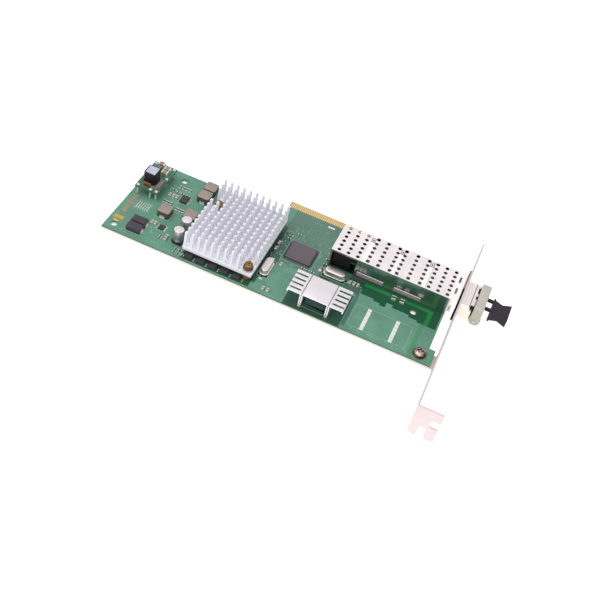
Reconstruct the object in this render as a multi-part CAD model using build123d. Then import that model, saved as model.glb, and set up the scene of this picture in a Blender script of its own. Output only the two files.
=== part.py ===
from build123d import *
import math
import os

# An optical network card for a server, lying flat with its component side up.
# X runs along the board to the mounting bracket, Y runs to the edge connector, Z leaves the component face.
# The origin is on the component face, where the key notch's centre line meets the connector's outer edge.

# General fits
cut_overrun = 1.0
hole_clearance = 0.1
shank_sides = 10

# Circuit board
board_length = 167.65
board_depth = 56.4
board_thickness = 1.57
connector_depth = 12.5
key_to_board_left = 110.7
key_width = 1.9
key_depth = 8.25
long_tongue = 38.65
short_tongue = 11.65
bevel_length = 0.7
bevel_depth = 0.35
foot_depth = 10.4
foot_reach = 3.15
mounting_hole_radius = 1.6
mounting_hole_shares = [(0.026, 0.078), (0.112, 0.899), (0.899, 0.505)]

# Plated contacts of the edge connector
contact_pitch = 1.0
contact_width = 0.7
contact_length = 4.2
contact_thickness = 0.05
key_to_contact = 1.5
long_contacts = 38
short_contacts = 11

# Tinned pads beside the small heat sink, as a place and a size
pad_thickness = 0.05
tinned_strip_width = 1.9
tinned_strip_length = 14.8
tinned_strip_shares = [(0.787, 0.200), (0.873, 0.200)]
test_pad_length = 4.8
test_pad_width = 2.4
test_pad_shares = [(0.024, 0.172)]
ground_pad_length = 3.6
ground_pad_width = 1.2
ground_pad_shares = [(0.572, 1.085)]

# Mounting bracket
bracket_thickness = 0.86
bracket_height = 120.02
bracket_width = 18.42
bracket_drop = 3.7
bracket_gap = 1.25
tab_offset = 37.2
tab_depth = 11.43
tab_notch_width = 4.42
tab_notch_depth = 4.7
tab_notch_height = 8.2
tab_leg_width = 3.2
tab_slot_width = 3.4
tab_slot_height = 6.6
tab_corner_radius = 0.8
tip_width = 10.19
tip_length = 4.6
tip_shoulder = 4.1
bend_radius = 0.4
port_corner_radius = 0.5
ear_length = 11.9
ear_width = 8.6
ear_inset = 0.4

# Screw that holds the board to the bracket's ear
screw_shares = (0.961, 0.083)
screw_radius = 1.45
screw_head_radius = 2.8
screw_head_height = 2.0
screw_head_round = 0.9
screw_recess_width = 0.8
screw_recess_length = 3.2
screw_recess_depth = 1.1
screw_tip = 0.4
washer_radius = 3.3
washer_thickness = 0.5

# Shield cage of the optical port
cage_setback = 35.15
cage_length = 60.9
cage_width = 21.0
cage_height = 11.0
cage_sheet = 0.3
rear_segment = 15.1
front_segment = 12.6
side_window_length = 12.8
side_window_margin = 0.9
window_ledge = 0.9
vent_radius = 0.95
vent_sides = 6
segment_vent_columns = 3
vent_rows = 6
vent_row_pitch = 3.4
rear_vent_first = 3.4
front_vent_first = 1.3
vent_pitch = 4.8
lip_length = 13.8
lip_height = 2.0
lip_rise = 1.6
lip_thickness = 0.25
cage_leg_width = 0.9
cage_leg_drop = 0.8
cage_leg_shares = [0.08, 0.27, 0.42, 0.58, 0.74, 0.92]

# Cover plate in the cage's top window
cover_gap = 0.7
cover_vent_shares = [0.095, 0.255, 0.435, 0.545, 0.725, 0.905]
rib_width = 2.3
rib_thickness = 0.3
rib_lap = 0.6
rib_shares = [0.035, 0.49, 0.962]

# Shield collar at the cage's mouth, and the foam between it and the bracket
collar_length = 4.0
collar_sheet = 0.3
collar_slot_width = 1.1
collar_slot_length = 4.4
collar_slot_shares = [0.30, 0.70]
collar_slot_inset = 1.2
gasket_thickness = 0.9
gasket_border = 1.4

# Host connector in the cage's rear
host_length = 9.4
host_width = 17.6
host_height = 8.6
host_inset = 1.0
host_slot_height = 1.3
host_slot_depth = 5.6
card_thickness = 1.0

# Optical transceiver
transceiver_setback = 3.16
transceiver_width = 18.35
transceiver_height = 8.5
transceiver_lift = 0.75
transceiver_edge = 0.5
nose_reach = 5.9
nose_groove_width = 0.4
nose_groove_depth = 0.4
nose_groove_setback = 1.5
nose_lip_reach = 0.6
nose_lip_width = 17.0
nose_slot_length = 0.8
nose_slot_offsets = [-0.7, 4.45]
nose_slot_widths = [2.2, 4.1]
nose_notch_length = 1.8
nose_notch_width = 2.4
nose_notch_depth = 2.0
card_width = 15.6
card_reach = 8.6
port_length = 8.4
port_seat = 3.9
port_width = 15.3
port_height = 7.4
socket_pitch = 6.25
socket_width = 5.0
socket_height = 4.9
socket_depth = 7.0
socket_lift = 1.9

# Bail latch of the transceiver
latch_depth = 4.6
latch_arm = 1.7
latch_bar = 1.7
latch_height = 11.1
latch_corner_radius = 1.6
latch_lobe_radius = 2.9
latch_gap = 0.3
latch_setback = 0.8
latch_pin_radius = 0.6

# Twin dust plug
plug_prong_width = 1.7
plug_prong_height = 1.6
plug_prong_length = 10.0
plug_prong_round = 0.25
plug_collar_width = 11.4
plug_collar_height = 6.0
plug_collar_thickness = 0.9
plug_root_width = 10.4
plug_root_height = 5.2
plug_waist_width = 8.7
plug_waist_height = 4.2
plug_waist_reach = 3.7
plug_grip_width = 11.1
plug_grip_height = 5.6
plug_grip_reach = 4.45
plug_round = 0.5
plug_gap = 3.95

# Main heat sink
heatsink_shares = (0.3457, 0.469)
heatsink_length = 35.4
heatsink_depth = 45.5
heatsink_lift = 3.1
heatsink_base = 1.8
fin_columns = 11
fin_rows = 14
fin_length = 1.2
fin_depth = 1.3
fin_height = 8.8
fin_margin = 0.15

# Spring pins that hold the main heat sink
push_pin_margin = 3.0
push_pin_far_share = 0.265
push_pin_radius = 0.9
push_pin_head_radius = 2.0
push_pin_head_height = 0.9
push_pin_dome = 0.3
push_pin_rise = 2.7
push_pin_barb_radius = 1.25
push_pin_barb_height = 1.3
push_pin_barb_taper = 28
push_pin_clear_radius = 3.3
spring_radius = 1.55
spring_wire = 0.42
spring_turns = 2
spring_turn_sides = 8
spacer_radius = 2.1

# Network processor under the main heat sink
processor_size = 25.0
processor_thickness = 1.1
processor_cap_size = 21.0
processor_cap_thickness = 1.2
thermal_pad_size = 20.0

# Square flat pack and its leads
interface_gap_share = 0.5093
interface_depth_share = 0.6126
interface_size = 13.0
interface_height = 1.4
interface_standoff = 0.15
interface_chamfer = 0.3
lead_count = 13
lead_pitch = 0.9
lead_width = 0.4
lead_reach = 1.0
lead_thickness = 0.16
lead_foot = 0.5

# Small folded heat sink
small_sink_shares = (0.6442, 0.1614)
small_sink_depth = 14.6
small_sink_plate = 13.0
small_sink_height = 8.5
small_sink_sheet = 0.6
small_sink_fold_gap = 0.35
small_sink_wing = 6.6
small_sink_drop = 1.7
small_sink_slot = 1.35
small_sink_slots = 4
small_sink_web = 0.5

# Power package under the small heat sink
regulator_length = 10.0
regulator_depth = 9.2
regulator_height = 4.4
regulator_edge = 0.4
regulator_tab_length = 10.2
regulator_tab_depth = 11.6
regulator_tab_thickness = 1.3

# Crystals on their seats
crystal_length = 11.05
crystal_width = 4.65
crystal_flange = 0.4
crystal_flange_corner = 1.2
crystal_can_inset = 0.45
crystal_can_height = 3.0
crystal_can_round = 0.35
seat_length = 11.4
seat_thickness = 0.45
seat_lead_reach = 1.0
seat_lead_width = 0.6
crystal_a_gap = 0.9
crystal_a_share = 0.2926
crystal_b_gap = 3.0
crystal_b_share = 0.6500

# Small chip between the crystal and the small heat sink
buffer_gap = 2.4
buffer_shift = 3.0
buffer_length = 5.0
buffer_depth = 3.2
buffer_height = 1.2

# Raised converter board
converter_shares = (0.0475, 0.7048)
converter_length = 12.2
converter_depth = 21.7
converter_thickness = 1.2
converter_top = 5.5
converter_pin_width = 0.8
converter_pin_blob = 1.9
converter_pin_blob_height = 0.6
converter_pin_blob_taper = 40
blob_sides = 6
converter_pin_drop = 1.0
converter_pin_shares = [(0.10, 0.05), (0.65, 0.05), (0.90, 0.05), (0.10, 0.95), (0.65, 0.95), (0.90, 0.95),
                        (0.90, 0.56)]

# Parts on the converter board, placed as shares of it
choke_length = 6.4
choke_depth = 7.0
choke_height = 6.4
choke_chamfer = 0.8
choke_shares = (0.43, 0.335)
label_margin = 0.7
label_thickness = 0.1
coil_length = 4.2
coil_width = 2.1
coil_core_width = 1.5
coil_turns = 5
coil_turn_share = 0.7
converter_capacitor_length = 3.2
converter_capacitor_depth = 2.5
converter_capacitor_height = 1.8
converter_capacitor_shares = [(0.70, 0.68), (0.70, 0.82), (0.36, 0.92)]
converter_chip_length = 1.9
converter_chip_depth = 6.2
converter_chip_height = 1.2
converter_chip_shares = [(0.86, 0.30), (0.36, 0.70)]

# Power inductors
inductor_length = 6.2
inductor_depth = 6.5
inductor_height = 3.6
inductor_chamfer = 0.6
inductor_gap = 0.72
inductor_shares = [(0.1280, 0.4170), (0.1990, 0.4770), (0.1975, 0.7745)]
terminal_width = 2.6
terminal_reach = 0.3
terminal_thickness = 0.2
terminal_height = 1.4

# Tantalum capacitors
tantalum_length = 7.3
tantalum_depth = 4.3
tantalum_height = 2.9
tantalum_chamfer = 0.3
tantalum_gap = 0.9
tantalum_shares = (0.0853, 0.1046)
tantalum_terminal_width = 2.4
tantalum_terminal_reach = 0.6
tantalum_terminal_thickness = 0.3

# Electrolytic capacitors beside the main heat sink
can_radius = 2.5
can_height = 6.7
can_round = 0.4
can_base_size = 5.3
can_base_height = 1.0
can_base_chamfer = 1.1
can_gap = 2.7
can_shares = [0.3245, 0.1800]

# Small outline chips with a row of leads along each short side
outline_length = 3.9
outline_depth = 4.9
outline_height = 1.5
outline_chamfer = 0.35
outline_leads = 4
outline_lead_pitch = 1.27
outline_lead_width = 0.42
outline_a_shares = (0.150, 0.667)
outline_b_shares = (0.147, 0.248)
outline_b_length = 3.0
outline_b_depth = 3.0
outline_b_height = 1.1

# Row of small chips under the main heat sink's near edge
driver_count = 5
driver_length = 3.8
driver_depth = 3.2
driver_height = 1.1
driver_inset = 3.4
driver_first_share = 0.11
driver_last_share = 0.80

# Chip capacitors, resistors, arrays and diodes, placed as shares of the board
capacitor_length = 2.0
capacitor_depth = 1.25
capacitor_height = 0.9
capacitor_shares = [(0.103, 0.660), (0.114, 0.660), (0.125, 0.660), (0.114, 0.262), (0.124, 0.262),
                    (0.176, 0.140), (0.176, 0.172), (0.492, 0.060), (0.506, 0.060), (0.462, 0.560),
                    (0.462, 0.640), (0.500, 0.400)]
crystal_capacitors = 3
crystal_capacitor_pitch = 2.0
crystal_capacitor_gap = 1.6
resistor_length = 1.6
resistor_depth = 0.8
resistor_height = 0.5
resistor_shares = [(0.220, 0.045), (0.220, 0.085), (0.233, 0.045), (0.233, 0.085), (0.246, 0.045),
                   (0.160, 0.125), (0.160, 0.150), (0.104, 0.745), (0.118, 0.730), (0.132, 0.730),
                   (0.150, 0.735), (0.560, 0.465), (0.575, 0.465), (0.590, 0.465), (0.610, 0.560),
                   (0.610, 0.620), (0.610, 0.680), (0.480, 0.740), (0.480, 0.780), (0.500, 0.840)]
array_length = 1.2
array_depth = 2.0
array_height = 0.5
array_shares = [(0.113, 0.803), (0.124, 0.803), (0.135, 0.803), (0.146, 0.803), (0.148, 0.525),
                (0.158, 0.525), (0.168, 0.525), (0.100, 0.560), (0.111, 0.560), (0.122, 0.560)]
diode_length = 2.2
diode_depth = 2.4
diode_height = 1.0
diode_gap = 2.4
diode_rear_shares = [0.598, 0.668]

# Places worked out from the sizes above
board_left = -key_to_board_left
board_right = board_left + board_length
board_far = -connector_depth
board_near = board_far - board_depth
board_bottom = -board_thickness
board_middle = (board_left + board_length / 2, board_near + board_depth / 2)


def on_board(shares):
    return (board_left + shares[0] * board_length, board_near + shares[1] * board_depth)


bracket_inner = board_right + bracket_gap
bracket_outer = bracket_inner + bracket_thickness
bracket_bottom = -bracket_drop
bracket_top = bracket_bottom + bracket_width
tab_outer = board_near - tab_offset
bracket_end = tab_outer + bracket_height

cage_near = board_near + cage_setback
cage_middle = cage_near + cage_width / 2
collar_front = bracket_inner - gasket_thickness
cage_front = collar_front - collar_length
cage_rear = cage_front - cage_length
window_rear = cage_rear + rear_segment
window_length = cage_length - rear_segment - front_segment
window_width = cage_width - 2 * window_ledge
front_columns_first = cage_front - front_segment + front_vent_first

collar_width = cage_width + 2 * collar_sheet
collar_height = cage_height + collar_sheet
port_opening_width = cage_width - 2 * cage_sheet
port_opening_bottom = cage_sheet
port_opening_height = cage_height - 2 * cage_sheet

host_front = cage_rear + cage_sheet + host_inset + host_length
transceiver_front = bracket_outer + nose_reach
transceiver_rear = host_front + transceiver_setback
transceiver_length = transceiver_front - transceiver_rear
transceiver_bottom = transceiver_lift
transceiver_top = transceiver_bottom + transceiver_height
transceiver_middle = transceiver_bottom + transceiver_height / 2
port_rear = transceiver_front - port_seat
port_front = port_rear + port_length
port_bottom = transceiver_bottom + (transceiver_height - port_height) / 2
socket_top = port_bottom + socket_lift + socket_height
socket_middle = socket_top - socket_height / 2
plug_middle = socket_top - plug_collar_height / 2
latch_rear = transceiver_front + latch_setback
latch_middle = latch_rear + latch_depth / 2
latch_width = port_width + 2 * (latch_gap + latch_arm)
plug_rear = port_front + plug_gap

heatsink_x = board_left + heatsink_shares[0] * board_length
heatsink_y = board_near + heatsink_shares[1] * board_depth
heatsink_left = heatsink_x - heatsink_length / 2
heatsink_right = heatsink_x + heatsink_length / 2
heatsink_near = heatsink_y - heatsink_depth / 2
heatsink_deck = heatsink_lift + heatsink_base
fin_pitch_x = (heatsink_length - 2 * fin_margin - fin_length) / (fin_columns - 1)
fin_pitch_y = (heatsink_depth - 2 * fin_margin - fin_depth) / (fin_rows - 1)

interface_place = (heatsink_right + interface_gap_share * (cage_rear - heatsink_right),
                   board_near + interface_depth_share * board_depth)
crystal_a_place = (heatsink_right + crystal_a_gap + crystal_width / 2,
                   board_near + crystal_a_share * board_depth)
crystal_b_place = (board_left + crystal_b_share * board_length,
                   cage_near - crystal_b_gap - crystal_width / 2)

inductor_places = [on_board(shares) for shares in inductor_shares]
inductor_places.append((inductor_places[-1][0], inductor_places[-1][1] + inductor_depth + inductor_gap))
tantalum_near = on_board(tantalum_shares)
tantalum_places = [(tantalum_near[0], tantalum_near[1] + tantalum_depth + tantalum_gap), tantalum_near]

converter_x = board_left + converter_shares[0] * board_length
converter_y = board_near + converter_shares[1] * board_depth
can_x = heatsink_left - can_gap - can_radius

STANDING = (Align.CENTER, Align.CENTER, Align.MIN)


def on_converter(shares):
    x = converter_x + (shares[0] - 0.5) * converter_length
    y = converter_y + (shares[1] - 0.5) * converter_depth
    return (x, y)


def block(length, depth, height, place, bottom=0):
    return Pos(place[0], place[1], bottom) * Box(length, depth, height, align=STANDING)


def post(radius, height, place, bottom=0):
    return Pos(place[0], place[1], bottom) * Cylinder(radius, height, align=STANDING)


def flat_post(radius, height, place, bottom=0):
    # A small shank or bore, drawn with flat sides.
    return Pos(place[0], place[1], bottom) * extrude(RegularPolygon(radius, shank_sides), height)


def group(pieces):
    return Compound([solid for piece in pieces for solid in piece.solids()])


def top_edges(solid):
    return solid.faces().sort_by(Axis.Z)[-1].edges()


def push_pin_places():
    # One pin near the right front corner, the other on the left side towards the connector.
    right = (heatsink_right - push_pin_margin, heatsink_near + push_pin_margin)
    far_offset = push_pin_far_share * heatsink_depth
    left = (heatsink_left + push_pin_margin, heatsink_near + heatsink_depth - far_offset)
    return [right, left]


def cage_leg_places():
    rows = (cage_near + cage_sheet / 2, cage_near + cage_width - cage_sheet / 2)
    return [(cage_rear + share * cage_length, y) for share in cage_leg_shares for y in rows]


def circuit_board():
    # The outline with its connector tongue, key notch and the foot that reaches the bracket.
    plate = block(board_length, board_depth, board_thickness, board_middle, board_bottom)
    tongue_left = -key_width / 2 - long_tongue
    tongue_right = key_width / 2 + short_tongue
    tongue = Pos(tongue_left, board_far - cut_overrun, board_bottom) * Box(
        tongue_right - tongue_left, connector_depth + cut_overrun, board_thickness, align=Align.MIN)
    tip = tongue.faces().sort_by(Axis.Y)[-1]
    tongue = chamfer(tip.edges().filter_by(Axis.X), bevel_depth, bevel_length, reference=tip)
    plate = plate + tongue
    key = Pos(0, -key_depth, board_bottom) * Box(
        key_width, key_depth + cut_overrun, board_thickness, align=(Align.CENTER, Align.MIN, Align.MIN))
    step = Pos(board_right - foot_reach, board_near + foot_depth, board_bottom) * Box(
        foot_reach + cut_overrun, board_depth, board_thickness, align=Align.MIN)
    holes = [post(mounting_hole_radius, board_thickness, on_board(shares), board_bottom)
             for shares in mounting_hole_shares]
    screw_hole = flat_post(screw_radius + 2 * hole_clearance, board_thickness, on_board(screw_shares),
                           board_bottom)
    pin_hole = converter_pin_width + 2 * hole_clearance
    pin_holes = [block(pin_hole, pin_hole, board_thickness, on_converter(shares), board_bottom)
                 for shares in converter_pin_shares]
    push_holes = [flat_post(push_pin_radius + hole_clearance, board_thickness, place, board_bottom)
                  for place in push_pin_places()]
    slots = [block(cage_leg_width + 2 * hole_clearance, cage_sheet + 2 * hole_clearance, board_thickness,
                   place, board_bottom) for place in cage_leg_places()]
    return plate - [key, step, screw_hole] - holes - pin_holes - push_holes - slots


def edge_contacts(bottom):
    places = [-key_to_contact - i * contact_pitch for i in range(long_contacts)]
    places += [key_to_contact + i * contact_pitch for i in range(short_contacts)]
    middle = -bevel_length - contact_length / 2
    return group([block(contact_width, contact_length, contact_thickness, (x, middle), bottom)
                  for x in places])


def tinned_pads():
    strips = [block(tinned_strip_width, tinned_strip_length, pad_thickness, on_board(shares))
              for shares in tinned_strip_shares]
    tests = [block(test_pad_length, test_pad_width, pad_thickness, on_board(shares))
             for shares in test_pad_shares]
    grounds = [block(ground_pad_length, ground_pad_width, pad_thickness, on_board(shares))
               for shares in ground_pad_shares]
    return group(strips + tests + grounds)


def bracket_plate():
    # The plate in its own plane, Y along it and Z across it, with its narrowed tip.
    middle = (bracket_bottom + bracket_top) / 2
    shoulder = bracket_end - tip_length
    points = [(tab_outer, bracket_bottom), (shoulder - tip_shoulder, bracket_bottom),
              (shoulder, middle - tip_width / 2), (bracket_end, middle - tip_width / 2),
              (bracket_end, middle + tip_width / 2), (shoulder, middle + tip_width / 2),
              (shoulder - tip_shoulder, bracket_top), (tab_outer, bracket_top)]
    outline = Plane.YZ * Polygon(*points, align=None)
    return Pos(bracket_inner, 0, 0) * extrude(outline, bracket_thickness)


def bracket_tab():
    # The tab turned outwards at the bracket's end, with its leg, slot and screw notch.
    length = bracket_thickness + tab_depth
    outline = Rectangle(length, bracket_width, align=Align.MIN)
    slot = Pos(bracket_thickness + tab_leg_width, -cut_overrun) * Rectangle(
        tab_slot_width, tab_slot_height + cut_overrun, align=Align.MIN)
    notch_end = length - tab_notch_depth + tab_notch_width / 2
    notch = Pos(notch_end, tab_notch_height) * Rectangle(tab_notch_depth, tab_notch_width, align=Align.MIN)
    notch_round = Pos(notch_end, tab_notch_height + tab_notch_width / 2) * Circle(tab_notch_width / 2)
    outline = outline - slot - notch - notch_round
    corners = [vertex for vertex in outline.vertices() if vertex.X > length - tab_corner_radius]
    outline = fillet(corners, tab_corner_radius)
    tab = extrude(Plane.XZ * outline, bracket_thickness)
    return Pos(bracket_inner, tab_outer + bracket_thickness, bracket_bottom) * tab


def mounting_bracket():
    bracket = bracket_plate() + bracket_tab()
    edges = bracket.edges().filter_by(Axis.Z)
    outer = [edge for edge in edges if edge.center().Y < tab_outer + hole_clearance
             and edge.center().X < bracket_inner + hole_clearance]
    bracket = fillet(outer, bend_radius + bracket_thickness)
    inner = [edge for edge in bracket.edges().filter_by(Axis.Z)
             if abs(edge.center().Y - tab_outer - bracket_thickness) < hole_clearance
             and abs(edge.center().X - bracket_outer) < hole_clearance]
    bracket = fillet(inner, bend_radius)
    ear = Pos(bracket_inner + bracket_thickness / 2, board_near + ear_inset, board_bottom) * Box(
        ear_length + bracket_thickness / 2, ear_width, bracket_thickness,
        align=(Align.MAX, Align.MIN, Align.MAX))
    ear_hole = flat_post(screw_radius + hole_clearance, bracket_thickness, on_board(screw_shares),
                         board_bottom - bracket_thickness)
    port = Plane.YZ * Pos(cage_middle, port_opening_bottom + port_opening_height / 2) * RectangleRounded(
        port_opening_width, port_opening_height, port_corner_radius)
    port = Pos(bracket_inner - cut_overrun, 0, 0) * extrude(port, bracket_thickness + 2 * cut_overrun)
    return bracket + ear - ear_hole - port


def bracket_screw():
    # A pan head with a cross recess, on a shank that ends just through the ear.
    place = on_board(screw_shares)
    head = post(screw_head_radius, screw_head_height, place, washer_thickness)
    head = chamfer(top_edges(head), screw_head_round)
    length = washer_thickness + board_thickness + bracket_thickness + screw_tip
    shank = flat_post(screw_radius, length, place, washer_thickness - length)
    recess_bottom = washer_thickness + screw_head_height - screw_recess_depth
    recess = [block(screw_recess_length, screw_recess_width, screw_recess_depth, place, recess_bottom),
              block(screw_recess_width, screw_recess_length, screw_recess_depth, place, recess_bottom)]
    return head + shank - recess


def screw_washer():
    place = on_board(screw_shares)
    washer = post(washer_radius, washer_thickness, place)
    return washer - flat_post(screw_radius + hole_clearance, washer_thickness, place)


def bezel_gasket():
    width = collar_width + 2 * gasket_border
    height = collar_height + gasket_border
    outer = Plane.YZ * Pos(cage_middle, height / 2) * Rectangle(width, height)
    opening = Plane.YZ * Pos(cage_middle, port_opening_bottom + port_opening_height / 2) * Rectangle(
        port_opening_width, port_opening_height)
    return Pos(collar_front, 0, 0) * extrude(outer - opening, gasket_thickness)


def vent_grid(columns, top, thickness):
    ys = [cage_middle + (row - (vent_rows - 1) / 2) * vent_row_pitch for row in range(vent_rows)]
    vent = extrude(RegularPolygon(vent_radius, vent_sides), thickness + 2 * cut_overrun)
    return [Pos(x, y, top - thickness - cut_overrun) * vent for x in columns for y in ys]


def transceiver_cage():
    # A folded sheet box, open at the mouth, with vents, a top window and legs through the board.
    middle = (cage_rear + cage_length / 2, cage_middle)
    cage = block(cage_length, cage_width, cage_height, middle)
    cavity = Pos(cage_rear + cage_sheet, cage_middle, cage_sheet) * Box(
        cage_length, cage_width - 2 * cage_sheet, cage_height - 2 * cage_sheet,
        align=(Align.MIN, Align.CENTER, Align.MIN))
    connector_way = Pos(cage_rear + cage_sheet, cage_middle, 0) * Box(
        host_inset + host_length + host_slot_depth, cage_width - 2 * cage_sheet, cage_height / 2,
        align=(Align.MIN, Align.CENTER, Align.MIN))
    window = Pos(window_rear, cage_middle, cage_height / 2) * Box(
        window_length, window_width, cage_height, align=(Align.MIN, Align.CENTER, Align.MIN))
    side_windows = Pos(cage_rear + side_window_margin, cage_middle, side_window_margin) * Box(
        side_window_length, cage_width + 2 * cut_overrun, cage_height - 2 * side_window_margin,
        align=(Align.MIN, Align.CENTER, Align.MIN))
    cage = cage - [cavity, connector_way, window, side_windows]
    columns = [first + i * vent_pitch for first in (cage_rear + rear_vent_first, front_columns_first)
               for i in range(segment_vent_columns)]
    cage = cage - vent_grid(columns, cage_height, cage_sheet)
    legs = [block(cage_leg_width, cage_sheet, board_thickness + cage_leg_drop, place,
                  board_bottom - cage_leg_drop) for place in cage_leg_places()]
    lips = []
    for x in (window_rear + lip_length / 2, window_rear + window_length - lip_length / 2):
        for y in (cage_near - lip_thickness / 2, cage_near + cage_width + lip_thickness / 2):
            lips.append(block(lip_length, lip_thickness, lip_height, (x, y), lip_rise))
    return cage + legs + lips


def cage_window_cover():
    # A vented plate in the window, carried by three ribs that lap onto the cage's top.
    middle_x = window_rear + window_length / 2
    plate = block(window_length - cover_gap, window_width - 2 * cover_gap, cage_sheet,
                  (middle_x, cage_middle), cage_height - cage_sheet)
    columns = [window_rear + share * window_length for share in cover_vent_shares]
    plate = plate - vent_grid(columns, cage_height, cage_sheet)
    ribs = [block(rib_width, window_width + 2 * rib_lap, rib_thickness,
                  (window_rear + share * window_length, cage_middle), cage_height) for share in rib_shares]
    return plate + ribs


def cage_collar():
    # A sleeve round the cage's mouth that bridges it to the foam, slotted on top and on its sides.
    sleeve_length = collar_length + collar_sheet
    rear = collar_front - sleeve_length
    outer = Pos(rear, cage_middle, 0) * Box(
        sleeve_length, collar_width, collar_height, align=(Align.MIN, Align.CENTER, Align.MIN))
    inner = Pos(rear - cut_overrun, cage_middle, -cut_overrun) * Box(
        sleeve_length + 2 * cut_overrun, cage_width, cage_height + cut_overrun,
        align=(Align.MIN, Align.CENTER, Align.MIN))
    collar = outer - inner
    slot_x = rear + collar_slot_inset + collar_slot_width / 2
    slots = [block(collar_slot_width, collar_slot_length, collar_height,
                   (slot_x, cage_middle + (share - 0.5) * cage_width), cage_height / 2)
             for share in collar_slot_shares]
    side_slot = Pos(slot_x, cage_middle, cage_height / 2) * Box(
        collar_slot_width, collar_width + 2 * cut_overrun, collar_slot_length)
    return collar - slots - side_slot


def host_connector():
    # The connector's block with the slot that takes the transceiver's card edge.
    rear = cage_rear + cage_sheet + host_inset
    body = Pos(rear, cage_middle, 0) * Box(host_length, host_width, host_height,
                                           align=(Align.MIN, Align.CENTER, Align.MIN))
    slot = Pos(rear + host_length - host_slot_depth, cage_middle, transceiver_middle) * Box(
        host_slot_depth + cut_overrun, card_width + 2 * hole_clearance, host_slot_height,
        align=(Align.MIN, Align.CENTER, Align.CENTER))
    return body - slot


def transceiver_body():
    # The cast shell, with a groove and a slotted lip at its nose and a seat for the optical port.
    body = Pos(transceiver_rear, cage_middle, transceiver_bottom) * Box(
        transceiver_length, transceiver_width, transceiver_height, align=(Align.MIN, Align.CENTER, Align.MIN))
    body = chamfer(body.edges().filter_by(Axis.X), transceiver_edge)
    groove = Pos(transceiver_front - nose_groove_setback, cage_middle, transceiver_top) * Box(
        nose_groove_width, transceiver_width, 2 * nose_groove_depth)
    nose_roof = transceiver_top - port_bottom - port_height
    lip_front = transceiver_front + nose_lip_reach
    lip = Pos(lip_front, cage_middle, transceiver_top) * Box(
        2 * nose_lip_reach, nose_lip_width, nose_roof, align=(Align.MAX, Align.CENTER, Align.MAX))
    slots = [Pos(lip_front, cage_middle + offset, transceiver_top) * Box(
        2 * nose_slot_length, width, 2 * nose_roof)
        for offset, width in zip(nose_slot_offsets, nose_slot_widths)]
    notch = Pos(lip_front, cage_middle - transceiver_width / 2, transceiver_top) * Box(
        2 * nose_notch_length, 2 * nose_notch_width, 2 * nose_notch_depth)
    seat = Pos(port_rear, cage_middle, port_bottom) * Box(
        port_length, port_width, port_height, align=(Align.MIN, Align.CENTER, Align.MIN))
    return body + lip - [groove, seat, notch, transceiver_card()] - slots


def transceiver_card():
    place = Pos(transceiver_rear, cage_middle, transceiver_middle)
    return place * Box(card_reach, card_width, card_thickness)


def socket_places():
    return [cage_middle - socket_pitch / 2, cage_middle + socket_pitch / 2]


def optical_port():
    # The twin socket in front of the shell, and the cross hole for the latch's pin.
    port = Pos(port_rear, cage_middle, port_bottom) * Box(
        port_length, port_width, port_height, align=(Align.MIN, Align.CENTER, Align.MIN))
    socket = Box(socket_depth + cut_overrun, socket_width, socket_height,
                 align=(Align.MAX, Align.CENTER, Align.CENTER))
    sockets = [Pos(port_front + cut_overrun, y, socket_middle) * socket for y in socket_places()]
    pin_hole = pin_bar(latch_pin_radius + hole_clearance)
    return port - sockets - pin_hole


def latch_pin_height():
    return port_bottom + socket_lift / 2


def pin_bar(radius):
    bar = extrude(RegularPolygon(radius, shank_sides), latch_width / 2, both=True)
    return Pos(latch_middle, cage_middle, latch_pin_height()) * Rot(90, 0, 0) * bar


def latch_pin():
    return pin_bar(latch_pin_radius)


def transceiver_latch():
    # An upright bail: two arms with rounded lobes at the pin, joined by a bar over the port.
    outer = Plane.YZ * Pos(cage_middle, latch_height / 2) * Rectangle(latch_width, latch_height)
    inner_width = latch_width - 2 * latch_arm
    inner = Plane.YZ * Pos(cage_middle, (latch_height - latch_bar) / 2) * Rectangle(
        inner_width, latch_height - latch_bar)
    frame = Pos(latch_rear, 0, 0) * extrude(outer - inner, latch_depth)
    top = [edge for edge in frame.edges().filter_by(Axis.X)
           if edge.center().Z > latch_height - hole_clearance]
    frame = fillet(top, latch_corner_radius)
    arm_offset = (latch_width - latch_arm) / 2
    lobes = [Pos(latch_middle, cage_middle + side * arm_offset, latch_lobe_radius) * Rot(90, 0, 0)
             * Cylinder(latch_lobe_radius, latch_arm) for side in (-1, 1)]
    below = Pos(latch_middle, cage_middle, 0) * Box(
        latch_depth + 2 * cut_overrun, latch_width + 2 * cut_overrun, latch_lobe_radius,
        align=(Align.CENTER, Align.CENTER, Align.MIN))
    return frame - below + lobes - pin_bar(latch_pin_radius + hole_clearance)


def plug_section(reach, width, height):
    outline = Rectangle(width, height)
    return Plane.YZ.offset(plug_rear + reach) * Pos(cage_middle, plug_middle) * chamfer(
        outline.vertices(), plug_round)


def dust_plug():
    # Two prongs under the sockets' roof, a collar, and a grip that narrows and flares to its end.
    prong_middle = socket_top - plug_prong_height / 2
    prongs = []
    for y in socket_places():
        outline = Rectangle(plug_prong_width, plug_prong_height)
        section = Plane.YZ.offset(plug_rear - plug_prong_length) * Pos(y, prong_middle) * chamfer(
            outline.vertices(), plug_prong_round)
        prongs.append(extrude(section, plug_prong_length))
    collar = extrude(plug_section(0, plug_collar_width, plug_collar_height), plug_collar_thickness)
    root = plug_section(plug_collar_thickness, plug_root_width, plug_root_height)
    waist_reach = plug_collar_thickness + plug_waist_reach
    waist = plug_section(waist_reach, plug_waist_width, plug_waist_height)
    end = plug_section(waist_reach + plug_grip_reach, plug_grip_width, plug_grip_height)
    grip = loft([root, waist], ruled=True) + loft([waist, end], ruled=True)
    return collar + grip + prongs


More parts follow.
